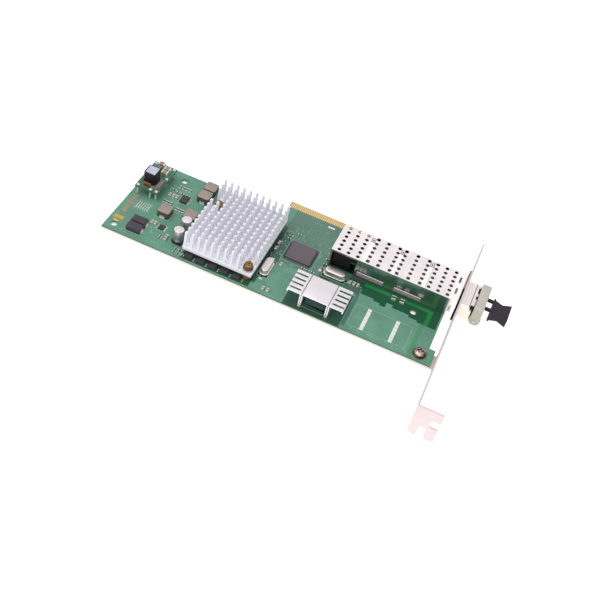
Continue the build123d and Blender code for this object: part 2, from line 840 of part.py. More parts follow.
def main_heatsink():
    # A base plate with a grid of square pins, left out round the two spring pins.
    base = block(heatsink_length, heatsink_depth, heatsink_base, (heatsink_x, heatsink_y), heatsink_lift)
    holes = [flat_post(push_pin_radius + hole_clearance, heatsink_base, place, heatsink_lift)
             for place in push_pin_places()]
    fins = []
    for column in range(fin_columns):
        for row in range(fin_rows):
            x = heatsink_x + (column - (fin_columns - 1) / 2) * fin_pitch_x
            y = heatsink_y + (row - (fin_rows - 1) / 2) * fin_pitch_y
            if all(math.dist((x, y), place) > push_pin_clear_radius for place in push_pin_places()):
                fins.append(block(fin_length, fin_depth, fin_height, (x, y), heatsink_deck))
    return base - holes + fins


def push_pin(place):
    # Turned head, shank and split barb below the board.
    head_bottom = heatsink_deck + push_pin_rise
    head = post(push_pin_head_radius, push_pin_head_height, place, head_bottom)
    head = chamfer(top_edges(head), push_pin_dome)
    shank = flat_post(push_pin_radius, head_bottom - board_bottom, place, board_bottom)
    barb = extrude(-Plane.XY * RegularPolygon(push_pin_barb_radius, shank_sides), push_pin_barb_height,
                   taper=push_pin_barb_taper)
    return head + shank + Pos(place[0], place[1], board_bottom) * barb


def push_pin_spring(place):
    # Square wire wound round the pin, each turn drawn with straight runs.
    steps = spring_turns * spring_turn_sides
    rise = push_pin_rise - 2 * spring_wire
    points = []
    for i in range(steps + 1):
        angle = 2 * math.pi * i / spring_turn_sides
        points.append((spring_radius * math.cos(angle), spring_radius * math.sin(angle), rise * i / steps))
    path = Polyline(*points)
    start = Plane(path @ 0, x_dir=(1, 0, 0), z_dir=path % 0)
    wire = sweep(start * Rectangle(spring_wire, spring_wire), path, transition=Transition.RIGHT)
    return Pos(place[0], place[1], heatsink_deck + spring_wire) * wire


def push_pin_spacer(place):
    ring = flat_post(spacer_radius, heatsink_lift, place)
    return ring - flat_post(push_pin_radius + hole_clearance, heatsink_lift, place)


def network_processor():
    place = (heatsink_x, heatsink_y)
    carrier = block(processor_size, processor_size, processor_thickness, place)
    return carrier + block(processor_cap_size, processor_cap_size, processor_cap_thickness, place,
                           processor_thickness)


def thermal_pad():
    bottom = processor_thickness + processor_cap_thickness
    return block(thermal_pad_size, thermal_pad_size, heatsink_lift - bottom, (heatsink_x, heatsink_y), bottom)


def interface_chip():
    chip = block(interface_size, interface_size, interface_height, interface_place, interface_standoff)
    return chamfer(top_edges(chip), interface_chamfer)


def gull_lead(width, reach, rise, foot, thickness):
    # One lead along +X from a package's side: out, down and along the board.
    points = [(0, rise), (0, rise - thickness), (reach - foot, 0), (reach, 0), (reach, thickness)]
    profile = Plane.XZ * Polygon(*points, align=None)
    return extrude(profile, width / 2, both=True)


def interface_chip_leads():
    x, y = interface_place
    rise = interface_standoff + interface_height / 2
    lead = gull_lead(lead_width, lead_reach, rise, lead_foot, lead_thickness)
    leads = []
    for quarter in range(4):
        for i in range(lead_count):
            offset = (i - (lead_count - 1) / 2) * lead_pitch
            leads.append(Pos(x, y, 0) * Rot(0, 0, 90 * quarter) * Pos(interface_size / 2, offset, 0) * lead)
    return group(leads)


def small_heatsink():
    # One strip of sheet: a raised plate, two folded legs and two slotted wings with turned-down tips.
    half = small_sink_plate / 2
    sheet = small_sink_sheet
    leg_outer = half + small_sink_fold_gap
    wing_end = leg_outer + sheet + small_sink_wing
    top = small_sink_height
    profile = [(0, top), (0, top - sheet), (half - sheet, top - sheet), (half - sheet, 0),
               (leg_outer + sheet, 0), (leg_outer + sheet, top - sheet), (wing_end - sheet, top - sheet),
               (wing_end - sheet, top - small_sink_drop), (wing_end, top - small_sink_drop), (wing_end, top),
               (leg_outer, top), (leg_outer, sheet), (half, sheet), (half, top)]
    side = Plane.XZ * Polygon(*profile, align=None)
    strip = extrude(side, small_sink_depth / 2, both=True)
    finger = (small_sink_depth - small_sink_slots * small_sink_slot) / (small_sink_slots + 1)
    for i in range(small_sink_slots):
        y = -small_sink_depth / 2 + finger + small_sink_slot / 2 + i * (finger + small_sink_slot)
        strip = strip - Pos(leg_outer + sheet + small_sink_web, y, top - small_sink_drop - cut_overrun) * Box(
            small_sink_wing, small_sink_slot, small_sink_drop + 2 * cut_overrun,
            align=(Align.MIN, Align.CENTER, Align.MIN))
    x, y = on_board(small_sink_shares)
    return Pos(x, y, 0) * (strip + mirror(strip, Plane.YZ))


def power_regulator():
    place = on_board(small_sink_shares)
    tab = block(regulator_tab_length, regulator_tab_depth, regulator_tab_thickness, place)
    body = block(regulator_length, regulator_depth, regulator_height, place)
    body = chamfer(top_edges(body), regulator_edge)
    return tab + body


def crystal(place, turn):
    # A can with round ends on its flange.
    flange = extrude(Rectangle(crystal_length, crystal_width), crystal_flange)
    flange = chamfer(flange.edges().filter_by(Axis.Z), crystal_flange_corner)
    can = extrude(SlotOverall(crystal_length - 2 * crystal_can_inset, crystal_width - 2 * crystal_can_inset),
                  crystal_can_height)
    can = chamfer(top_edges(can), crystal_can_round)
    return Pos(place[0], place[1], seat_thickness) * Rot(0, 0, turn) * (flange + can)


def crystal_seat(place, turn):
    # A moulded seat with one lead folded out at each end.
    seat = Box(seat_length, crystal_width, seat_thickness, align=STANDING)
    lead = Box(seat_length + 2 * seat_lead_reach, seat_lead_width, seat_thickness / 2, align=STANDING)
    return Pos(place[0], place[1], 0) * Rot(0, 0, turn) * (seat + lead)


def clock_buffer():
    crystal_near = crystal_b_place[1] - crystal_width / 2
    place = (crystal_b_place[0] - buffer_shift, crystal_near - buffer_gap - buffer_depth / 2)
    return block(buffer_length, buffer_depth, buffer_height, place)


def converter_board():
    bottom = converter_top - converter_thickness
    board = block(converter_length, converter_depth, converter_thickness, (converter_x, converter_y), bottom)
    hole = converter_pin_width + 2 * hole_clearance
    holes = [block(hole, hole, converter_thickness, on_converter(shares), bottom)
             for shares in converter_pin_shares]
    return board - holes


def converter_pin(place):
    # A square pin through both boards, with a mound of solder on top.
    bottom = board_bottom - converter_pin_drop
    pin = block(converter_pin_width, converter_pin_width, converter_top - bottom, place, bottom)
    mound = extrude(RegularPolygon(converter_pin_blob / 2, blob_sides), converter_pin_blob_height,
                    taper=converter_pin_blob_taper)
    return pin + Pos(place[0], place[1], converter_top) * mound


def converter_inductor():
    choke = block(choke_length, choke_depth, choke_height, on_converter(choke_shares), converter_top)
    return chamfer(choke.edges().filter_by(Axis.Z), choke_chamfer)


def inductor_label():
    return block(choke_length - 2 * label_margin, choke_depth - 2 * label_margin, label_thickness,
                 on_converter(choke_shares), converter_top + choke_height)


def converter_coil():
    # Flat copper turns wound close together on a core beside the inductor.
    x, y = on_converter(choke_shares)
    place = (x, y - (choke_depth + coil_width) / 2)
    pitch = coil_length / coil_turns
    turns = [block(pitch * coil_turn_share, coil_width, coil_width,
                   (place[0] + (i - (coil_turns - 1) / 2) * pitch, place[1]), converter_top)
             for i in range(coil_turns)]
    core_bottom = converter_top + (coil_width - coil_core_width) / 2
    return block(coil_length, coil_core_width, coil_core_width, place, core_bottom) + turns


def converter_capacitors():
    return group([block(converter_capacitor_length, converter_capacitor_depth, converter_capacitor_height,
                        on_converter(shares), converter_top) for shares in converter_capacitor_shares])


def converter_chips():
    return group([block(converter_chip_length, converter_chip_depth, converter_chip_height,
                        on_converter(shares), converter_top) for shares in converter_chip_shares])


def power_inductor(place):
    body = block(inductor_length, inductor_depth, inductor_height, place)
    return chamfer(body.edges().filter_by(Axis.Z), inductor_chamfer)


def end_terminals(place, length, height, width, reach, thickness):
    # Two folded end terminals, each a plate up the end and a foot along the board.
    x, y = place
    pieces = []
    for side in (-1, 1):
        foot = Pos(x + side * (length + reach) / 2, y, 0) * Box(reach, width, thickness, align=STANDING)
        plate = Pos(x + side * (length + thickness) / 2, y, 0) * Box(
            thickness, width, height / 2, align=STANDING)
        pieces.append(foot + plate)
    return pieces


def inductor_terminals():
    # A foot along the board and a plate up the side, at the near and far side of each inductor.
    pieces = []
    for x, y in inductor_places:
        for side in (-1, 1):
            foot_y = y + side * (inductor_depth + terminal_reach) / 2
            plate_y = y + side * (inductor_depth + terminal_thickness) / 2
            pieces.append(block(terminal_width, terminal_reach, terminal_thickness, (x, foot_y))
                          + block(terminal_width, terminal_thickness, terminal_height, (x, plate_y)))
    return group(pieces)


def tantalum_capacitor(place):
    body = block(tantalum_length, tantalum_depth, tantalum_height, place)
    return chamfer(top_edges(body), tantalum_chamfer)


def tantalum_terminals():
    pieces = []
    for place in tantalum_places:
        pieces += end_terminals(place, tantalum_length, tantalum_height, tantalum_terminal_width,
                                tantalum_terminal_reach, tantalum_terminal_thickness)
    return group(pieces)


def electrolytic_can(share):
    can = post(can_radius, can_height, (can_x, board_near + share * board_depth), can_base_height)
    return chamfer(top_edges(can), can_round)


def electrolytic_base(share):
    base = block(can_base_size, can_base_size, can_base_height, (can_x, board_near + share * board_depth))
    corners = base.edges().filter_by(Axis.Z).sort_by(Axis.X)[:2]
    return chamfer(corners, can_base_chamfer)


def regulator_chip(shares, length, depth, height):
    chip = block(length, depth, height, on_board(shares))
    return chamfer(top_edges(chip), outline_chamfer)


def regulator_leads():
    rows = [(outline_a_shares, outline_length, outline_height),
            (outline_b_shares, outline_b_length, outline_b_height)]
    leads = []
    for shares, length, height in rows:
        x, y = on_board(shares)
        lead = gull_lead(outline_lead_width, lead_reach, height / 2, lead_foot, lead_thickness)
        pitch = outline_lead_pitch * length / outline_length
        for turn in (0, 180):
            for i in range(outline_leads):
                offset = (i - (outline_leads - 1) / 2) * pitch
                leads.append(Pos(x, y, 0) * Rot(0, 0, turn) * Pos(length / 2, offset, 0) * lead)
    return group(leads)


def driver_chips():
    chips = []
    step = (driver_last_share - driver_first_share) / (driver_count - 1)
    for i in range(driver_count):
        x = heatsink_left + (driver_first_share + i * step) * heatsink_length
        chips.append(block(driver_length, driver_depth, driver_height, (x, board_near + driver_inset)))
    return group(chips)


def capacitor_places():
    # Those on the board at large, and a row beyond the crystal that lies by the cage.
    first = crystal_b_place[0] + seat_length / 2 + seat_lead_reach + crystal_capacitor_gap
    row = [(first + i * crystal_capacitor_pitch, crystal_b_place[1]) for i in range(crystal_capacitors)]
    return [on_board(shares) for shares in capacitor_shares] + row


def diode_places():
    return [(cage_rear + share * cage_length, cage_near - diode_gap - diode_depth / 2)
            for share in diode_rear_shares]


def chip_parts(length, depth, height, places):
    return group([block(length, depth, height, place) for place in places])


parts = {
    "circuit_board": circuit_board(),
    "edge_contacts_top": edge_contacts(0),
    "edge_contacts_bottom": edge_contacts(board_bottom - contact_thickness),
    "tinned_pads": tinned_pads(),
    "mounting_bracket": mounting_bracket(),
    "bracket_screw": bracket_screw(),
    "screw_washer": screw_washer(),
    "bezel_gasket": bezel_gasket(),
    "transceiver_cage": transceiver_cage(),
    "cage_window_cover": cage_window_cover(),
    "cage_collar": cage_collar(),
    "host_connector": host_connector(),
    "transceiver_body": transceiver_body(),
    "transceiver_card": transceiver_card(),
    "optical_port": optical_port(),
    "latch_pin": latch_pin(),
    "transceiver_latch": transceiver_latch(),
    "dust_plug": dust_plug(),
    "main_heatsink": main_heatsink(),
    "push_pins": group([push_pin(place) for place in push_pin_places()]),
    "push_pin_springs": group([push_pin_spring(place) for place in push_pin_places()]),
    "push_pin_spacers": group([push_pin_spacer(place) for place in push_pin_places()]),
    "network_processor": network_processor(),
    "thermal_pad": thermal_pad(),
    "interface_chip": interface_chip(),
    "interface_chip_leads": interface_chip_leads(),
    "small_heatsink": small_heatsink(),
    "power_regulator": power_regulator(),
    "crystal_a": crystal(crystal_a_place, 90),
    "crystal_b": crystal(crystal_b_place, 0),
    "crystal_seats": group([crystal_seat(crystal_a_place, 90), crystal_seat(crystal_b_place, 0)]),
    "clock_buffer": clock_buffer(),
    "converter_board": converter_board(),
    "converter_pins": group([converter_pin(on_converter(shares)) for shares in converter_pin_shares]),
    "converter_inductor": converter_inductor(),
    "inductor_label": inductor_label(),
    "converter_coil": converter_coil(),
    "converter_capacitors": converter_capacitors(),
    "converter_chips": converter_chips(),
    "inductor_terminals": inductor_terminals(),
    "tantalum_capacitor_a": tantalum_capacitor(tantalum_places[0]),
    "tantalum_capacitor_b": tantalum_capacitor(tantalum_places[1]),
    "tantalum_terminals": tantalum_terminals(),
    "electrolytic_can_a": electrolytic_can(can_shares[0]),
    "electrolytic_can_b": electrolytic_can(can_shares[1]),
    "electrolytic_bases": group([electrolytic_base(share) for share in can_shares]),
    "regulator_chip_a": regulator_chip(outline_a_shares, outline_length, outline_depth, outline_height),
    "regulator_chip_b": regulator_chip(outline_b_shares, outline_b_length, outline_b_depth, outline_b_height),
    "regulator_leads": regulator_leads(),
    "driver_chips": driver_chips(),
    "chip_capacitors": chip_parts(capacitor_depth, capacitor_length, capacitor_height, capacitor_places()),
    "chip_resistors": chip_parts(resistor_length, resistor_depth, resistor_height,
                                 [on_board(shares) for shares in resistor_shares]),
    "resistor_arrays": chip_parts(array_length, array_depth, array_height,
                                  [on_board(shares) for shares in array_shares]),
    "surface_diodes": chip_parts(diode_length, diode_depth, diode_height, diode_places()),
}
for number, place in enumerate(inductor_places, start=1):
    parts[f"power_inductor_{number}"] = power_inductor(place)

os.makedirs("parts", exist_ok=True)
for name, piece in parts.items():
    export_step(piece, f"parts/{name}.step")
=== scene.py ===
"""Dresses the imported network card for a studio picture, laid out as an add-on."""

import math
import random

import bpy
from mathutils import Matrix, Vector


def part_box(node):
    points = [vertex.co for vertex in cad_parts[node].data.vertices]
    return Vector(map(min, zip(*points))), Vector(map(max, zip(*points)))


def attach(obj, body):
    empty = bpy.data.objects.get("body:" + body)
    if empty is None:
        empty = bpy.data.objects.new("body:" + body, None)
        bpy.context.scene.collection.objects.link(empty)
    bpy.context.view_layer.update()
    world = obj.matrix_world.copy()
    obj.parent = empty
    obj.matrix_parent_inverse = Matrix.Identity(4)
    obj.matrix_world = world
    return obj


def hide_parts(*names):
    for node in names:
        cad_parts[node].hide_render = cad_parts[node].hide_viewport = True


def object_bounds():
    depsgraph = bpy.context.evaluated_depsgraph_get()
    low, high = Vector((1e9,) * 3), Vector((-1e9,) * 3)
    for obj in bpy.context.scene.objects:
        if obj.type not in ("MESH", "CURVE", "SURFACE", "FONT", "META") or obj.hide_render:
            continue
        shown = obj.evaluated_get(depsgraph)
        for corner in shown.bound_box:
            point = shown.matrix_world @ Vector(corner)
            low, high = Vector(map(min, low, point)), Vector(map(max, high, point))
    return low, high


bl_info = {
    "name": "Network Card Dressing",
    "version": (1, 0, 0),
    "blender": (4, 5, 0),
    "location": "View3D > Sidebar > Network Card",
    "description": "Builds the finishes and fine pieces of a short optical network card",
    "category": "Object",
}

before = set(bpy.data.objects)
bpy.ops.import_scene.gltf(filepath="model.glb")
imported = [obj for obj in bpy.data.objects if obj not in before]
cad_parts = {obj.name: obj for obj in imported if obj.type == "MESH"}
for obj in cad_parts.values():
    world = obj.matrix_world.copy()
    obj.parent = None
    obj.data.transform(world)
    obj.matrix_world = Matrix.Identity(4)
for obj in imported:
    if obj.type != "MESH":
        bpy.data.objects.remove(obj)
CAD_BOX = [list(corner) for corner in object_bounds()]

MM = 0.001
BODY = "root"
DISPLAY_WHITE = 255
SMOOTH_ANGLE = math.radians(35)

BOARD_LOW, BOARD_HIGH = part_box("circuit_board")
CAGE_LOW, CAGE_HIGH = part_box("transceiver_cage")
RIB_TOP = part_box("cage_window_cover")[1].z
LIP = 0.25 * MM
WALL_NEAR, WALL_FAR = CAGE_LOW.y + LIP, CAGE_HIGH.y - LIP
CAGE_MIDDLE = (WALL_NEAR + WALL_FAR) / 2
WINDOW_LEDGE = 0.9 * MM


def shade(red, green, blue):
    """A display colour of 0 to 255 as Blender's linear colour."""
    return tuple(((value / DISPLAY_WHITE + 0.055) / 1.055) ** 2.4 for value in (red, green, blue))


def spot(x, y, z=0.0):
    """A place in millimetres from the board's near left corner and above its component face."""
    return Vector((BOARD_LOW.x + x * MM, BOARD_LOW.y + y * MM, z * MM))


def colour_property(name, description, red, green, blue):
    """A colour setting that starts at a display colour."""
    return bpy.props.FloatVectorProperty(
        name=name, description=description, subtype="COLOR", size=3, min=0, max=1,
        default=shade(red, green, blue))


def length_property(name, description, millimetres):
    """A length setting that starts at that many millimetres."""
    return bpy.props.FloatProperty(
        name=name, description=description, unit="LENGTH", subtype="DISTANCE",
        default=millimetres * MM)


class CardColours(bpy.types.PropertyGroup):
    """Colours of the card's finishes."""
    mask: colour_property("Solder mask", "Green mask over copper", 110, 162, 139)
    mask_bare: colour_property("Bare mask", "Green mask over bare laminate", 12, 84, 54)
    mask_line: colour_property("Mask line", "Bright line round the isolated zone", 30, 128, 56)
    laminate: colour_property("Laminate", "Cut edge of the board", 190, 202, 146)
    ink: colour_property("Ink", "Legend ink on the board", 160, 196, 180)
    gold: colour_property("Gold", "Plated contacts", 248, 200, 130)
    nickel: colour_property("Nickel", "Bright plated sheet", 244, 236, 238)
    aluminium: colour_property("Aluminium", "Anodised heat sink", 238, 237, 245)
    brass: colour_property("Brass", "Turned spring pins", 150, 116, 66)
    package: colour_property("Package", "Moulded chip packages", 74, 70, 74)
    ferrite: colour_property("Ferrite", "Top of the power inductors", 172, 158, 148)
    latch: colour_property("Latch", "Bail of the transceiver", 203, 198, 186)
    plug: colour_property("Plug", "Dust plug", 50, 46, 54)
    floor: colour_property("Floor", "Studio floor", 245, 245, 245)


class CardSizes(bpy.types.PropertyGroup):
    """Sizes of the fine pieces."""
    edge: length_property("Edge", "Rounding of moulded and folded edges", 0.12)
    ink_thickness: length_property("Ink thickness", "Height of the legend ink", 0.03)
    trace_thickness: length_property("Trace thickness", "Height of a trace under the mask", 0.035)
    trace_width: length_property("Trace width", "Width of a signal trace", 0.22)


class StageSettings(bpy.types.PropertyGroup):
    """Camera and lamps."""
    camera_place: bpy.props.FloatVectorProperty(
        name="Camera", description="Place of the camera", subtype="TRANSLATION", unit="LENGTH",
        default=(0.050737, -0.389678, 0.339699))
    heading: bpy.props.FloatProperty(
        name="Heading", description="Turn of the view about the vertical", subtype="ANGLE",
        default=math.radians(-8.636))
    tilt: bpy.props.FloatProperty(
        name="Tilt", description="Tilt of the view below the horizon", subtype="ANGLE",
        default=math.radians(44.647))
    roll: bpy.props.FloatProperty(
        name="Roll", description="Roll of the camera", subtype="ANGLE",
        default=math.radians(17.041))
    lens: bpy.props.FloatProperty(
        name="Lens", description="Focal length in millimetres", unit="CAMERA", default=61.18)
    shift: bpy.props.FloatVectorProperty(
        name="Shift", description="Shift of the frame", size=2, default=(-0.0466, -0.0158))
    sky: bpy.props.FloatProperty(
        name="Sky", description="Even light from all round", default=0.5)
    key: bpy.props.FloatProperty(
        name="Key lamp", description="Watts of the large lamp overhead", unit="POWER", default=4.0)
    fill: bpy.props.FloatProperty(
        name="Fill lamp", description="Watts of the lamp beside the camera", unit="POWER",
        default=1.2)


# Short ways to work in object and edit mode

def deselect():
    """Object mode with nothing selected."""
    if bpy.context.mode != "OBJECT":
        bpy.ops.object.mode_set(mode="OBJECT")
    bpy.ops.object.select_all(action="DESELECT")


def pick(*pieces):
    """Selects only these pieces and makes the first one active."""
    deselect()
    for piece in pieces:
        piece.select_set(True)
    bpy.context.view_layer.objects.active = pieces[0]
    return pieces[0]


def edit_all():
    """Edit mode with everything selected."""
    bpy.ops.object.mode_set(mode="EDIT")
    bpy.ops.mesh.select_all(action="SELECT")


def settle():
    """Moves the selected piece's place, turn and size into its mesh."""
    bpy.ops.object.transform_apply(location=True, rotation=True, scale=True)


def join(pieces, name):
    """One piece made of several, with its place in its mesh."""
    piece = pick(*pieces)
    if len(pieces) > 1:
        bpy.ops.object.join()
    settle()
    piece.name = name
    return piece


def copies(piece, offsets):
    """A copy with its own mesh at each offset from the piece, which itself goes."""
    twins = []
    for offset in offsets:
        twin = piece.copy()
        twin.data = piece.data.copy()
        bpy.context.scene.collection.objects.link(twin)
        twin.matrix_world = Matrix.Translation(Vector(offset)) @ piece.matrix_world
        twins.append(twin)
    bpy.data.objects.remove(piece)
    return twins


def block(low, high):
    """A block between two corners."""
    deselect()
    bpy.ops.mesh.primitive_cube_add(size=1, location=(low + high) / 2)
    piece = bpy.context.object
    piece.scale = high - low
    settle()
    return piece


def soften(piece, width):
    """Rounds the sharp edges and smooths what is left."""
    pick(piece)
    bevel = piece.modifiers.new("edge", "BEVEL")
    bevel.width = width
    bevel.segments = 2
    bevel.limit_method = "ANGLE"
    bevel.angle_limit = SMOOTH_ANGLE
    bpy.ops.object.modifier_apply(modifier=bevel.name)
    bpy.ops.object.shade_smooth_by_angle(angle=SMOOTH_ANGLE)
    return piece


def merged_copy(node, name):
    """A clean copy of a CAD node: doubles merged and flat areas made one face."""
    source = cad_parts[node]
    piece = source.copy()
    piece.data = source.data.copy()
    piece.parent = None
    # The frame's own marks stay with the node
    for key in list(piece.keys()):
        if key.startswith("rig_"):
            del piece[key]
    bpy.context.scene.collection.objects.link(piece)
    pick(piece)
    piece.name = name
    bpy.ops.mesh.customdata_custom_splitnormals_clear()
    edit_all()
    bpy.ops.mesh.remove_doubles(threshold=0.001 * MM)
    bpy.ops.mesh.dissolve_limited(angle_limit=math.radians(0.5))
    bpy.ops.mesh.normals_make_consistent(inside=False)
    bpy.ops.object.mode_set(mode="OBJECT")
    return piece


def plate(x0, x1, y0, y1, z0, z1):
    """A block by its sides in millimetres on the board."""
    return block(spot(x0, y0, z0), spot(x1, y1, z1))


def thicken(piece, thickness):
    """Gives a flat face that thickness upwards."""
    pick(piece)
    solid = piece.modifiers.new("thickness", "SOLIDIFY")
    solid.thickness = thickness
    solid.offset = 1
    bpy.ops.object.modifier_apply(modifier=solid.name)
    return piece


def outline(x0, x1, y0, y1, width, thickness, rounding=0.0):
    """A raised line round a rectangle of the board, in millimetres but the thickness."""
    deselect()
    bpy.ops.mesh.primitive_plane_add(size=1, location=spot((x0 + x1) / 2, (y0 + y1) / 2))
    piece = bpy.context.object
    piece.scale = ((x1 - x0) * MM, (y1 - y0) * MM, 1)
    settle()
    edit_all()
    if rounding:
        bpy.ops.mesh.bevel(offset=rounding * MM, segments=4, affect="VERTICES")
        bpy.ops.mesh.select_all(action="SELECT")
    bpy.ops.mesh.inset(thickness=width * MM)
    bpy.ops.mesh.delete(type="FACE")
    bpy.ops.object.mode_set(mode="OBJECT")
    return thicken(piece, thickness)


def flat_ring(radius, bore, thickness, sides):
    """A flat ring at the origin, in millimetres but the thickness."""
    deselect()
    bpy.ops.mesh.primitive_circle_add(vertices=sides, radius=radius * MM, fill_type="NGON")
    edit_all()
    bpy.ops.mesh.inset(thickness=(radius - bore) * MM)
    bpy.ops.mesh.delete(type="FACE")
    bpy.ops.object.mode_set(mode="OBJECT")
    return thicken(bpy.context.object, thickness)


def cut(piece, tools):
    """Takes other pieces out of one."""
    tool = join(tools, "cutter")
    pick(piece)
    hollow = piece.modifiers.new("cut", "BOOLEAN")
    hollow.operation = "DIFFERENCE"
    hollow.solver = "EXACT"
    hollow.object = tool
    bpy.ops.object.modifier_apply(modifier=hollow.name)
    bpy.data.objects.remove(tool)


def close_seams(piece):
    """Moves the cover plate's long edges out to the cage's window."""
    hair = 0.02 * MM
    under_top = CAGE_HIGH.z - 0.05 * MM
    reach = (WALL_FAR - WALL_NEAR) / 2 - WINDOW_LEDGE - hair
    plate_half = max(abs(vertex.co.y - CAGE_MIDDLE) for vertex in piece.data.vertices
                     if vertex.co.z < under_top)
    pick(piece)
    bpy.ops.object.mode_set(mode="EDIT")
    bpy.ops.mesh.select_all(action="DESELECT")
    bpy.ops.object.mode_set(mode="OBJECT")
    for vertex in piece.data.vertices:
        vertex.select = abs(abs(vertex.co.y - CAGE_MIDDLE) - plate_half) < hair
    bpy.ops.object.mode_set(mode="EDIT")
    bpy.ops.transform.resize(value=(1, reach / plate_half, 1), center_override=(0, CAGE_MIDDLE, 0))
    bpy.ops.object.mode_set(mode="OBJECT")
    return piece


def board_box(node):
    """A node's sides in millimetres on the board: x, x, y, y, z, z."""
    origin = spot(0, 0)
    low, high = ((corner - origin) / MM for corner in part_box(node))
    return low.x, high.x, low.y, high.y, low.z, high.z


def end_caps(node, share):
    """Caps over both ends of each small part in a node."""
    caps = []
    growth = 0.02 * MM
    for low, high in loose_boxes(node):
        size = high - low
        along = 0 if size.x > size.y else 1
        grow = Vector((growth, growth, 0))
        for end in (0, 1):
            start, stop = low - grow, high + grow
            stop.z += growth
            if end:
                start[along] = high[along] - share * size[along]
            else:
                stop[along] = low[along] + share * size[along]
            caps.append(block(start, stop))
    return caps


WIRE_SIDES = 8
TURN_STEPS = 16
LATHE_SIDES = 32


def coil(place, radius, wire, pitch, turns, lying=False):
    """A helix of round wire from its lower end, in metres, along z or lying along x."""
    deselect()
    bpy.ops.mesh.primitive_circle_add(
        vertices=WIRE_SIDES, radius=wire, fill_type="NOTHING", location=(radius, 0, 0),
        rotation=(math.pi / 2, 0, 0))
    piece = bpy.context.object
    settle()
    screw = piece.modifiers.new("turns", "SCREW")
    screw.screw_offset = pitch
    screw.iterations = turns
    screw.steps = screw.render_steps = TURN_STEPS
    screw.use_smooth_shade = True
    bpy.ops.object.modifier_apply(modifier=screw.name)
    bpy.ops.object.mode_set(mode="EDIT")
    bpy.ops.mesh.select_all(action="DESELECT")
    bpy.ops.mesh.select_non_manifold()
    bpy.ops.mesh.edge_face_add()
    bpy.ops.mesh.select_all(action="SELECT")
    bpy.ops.mesh.normals_make_consistent(inside=False)
    bpy.ops.object.mode_set(mode="OBJECT")
    if lying:
        piece.rotation_euler = (0, math.pi / 2, 0)
    piece.location = place
    settle()
    return piece


def turned(steps, place):
    """A lathed piece from its radii and heights in millimetres, lowest step first."""
    deselect()
    radius, height = steps[0]
    bpy.ops.mesh.primitive_circle_add(vertices=LATHE_SIDES, radius=radius * MM, fill_type="NGON",
                                      location=place + Vector((0, 0, height * MM)))
    piece = bpy.context.object
    edit_all()
    for next_radius, next_height in steps[1:]:
        bpy.ops.mesh.extrude_region_move(
            TRANSFORM_OT_translate={"value": (0, 0, (next_height - height) * MM)})
        ratio = next_radius / radius
        bpy.ops.transform.resize(value=(ratio, ratio, 1), center_override=place)
        radius, height = next_radius, next_height
    bpy.ops.mesh.select_all(action="SELECT")
    bpy.ops.mesh.normals_make_consistent(inside=False)
    bpy.ops.object.mode_set(mode="OBJECT")
    settle()
    bpy.ops.object.shade_smooth_by_angle(angle=math.radians(40))
    return piece


def loose_boxes(node):
    """The lowest and highest corner of each separate solid in a CAD node."""
    merged_copy(node, "loose")
    bpy.ops.mesh.separate(type="LOOSE")
    found = []
    for part in list(bpy.context.selected_objects):
        corners = [vertex.co for vertex in part.data.vertices]
        found.append((Vector(min(c[i] for c in corners) for i in range(3)),
                      Vector(max(c[i] for c in corners) for i in range(3))))
        bpy.data.objects.remove(part)
    return sorted(found, key=lambda box: tuple(round(value, 6) for value in (*box[0], *box[1])))


MATERIALS = {}


def add_piece(piece, finish, slot, *replaced):
    """Gives a finished piece its material, its body and what it stands for."""
    piece.data.materials.clear()
    piece.data.materials.append(MATERIALS[finish])
    for polygon in piece.data.polygons:
        polygon.material_index = 0
    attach(piece, BODY)
    if replaced:
        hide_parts(*replaced)


def paint(finish, *nodes):
    """A new finish for CAD nodes that keep their shape."""
    for node in nodes:
        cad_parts[node].material_slots[0].material = MATERIALS[finish]


def rework(node, name, finish, slot, edge):
    """A copy of a CAD node with softened edges that stands for it."""
    add_piece(soften(merged_copy(node, name), edge), finish, slot, node)


# Materials

SOCKETS = {"specular": "Specular IOR Level"}


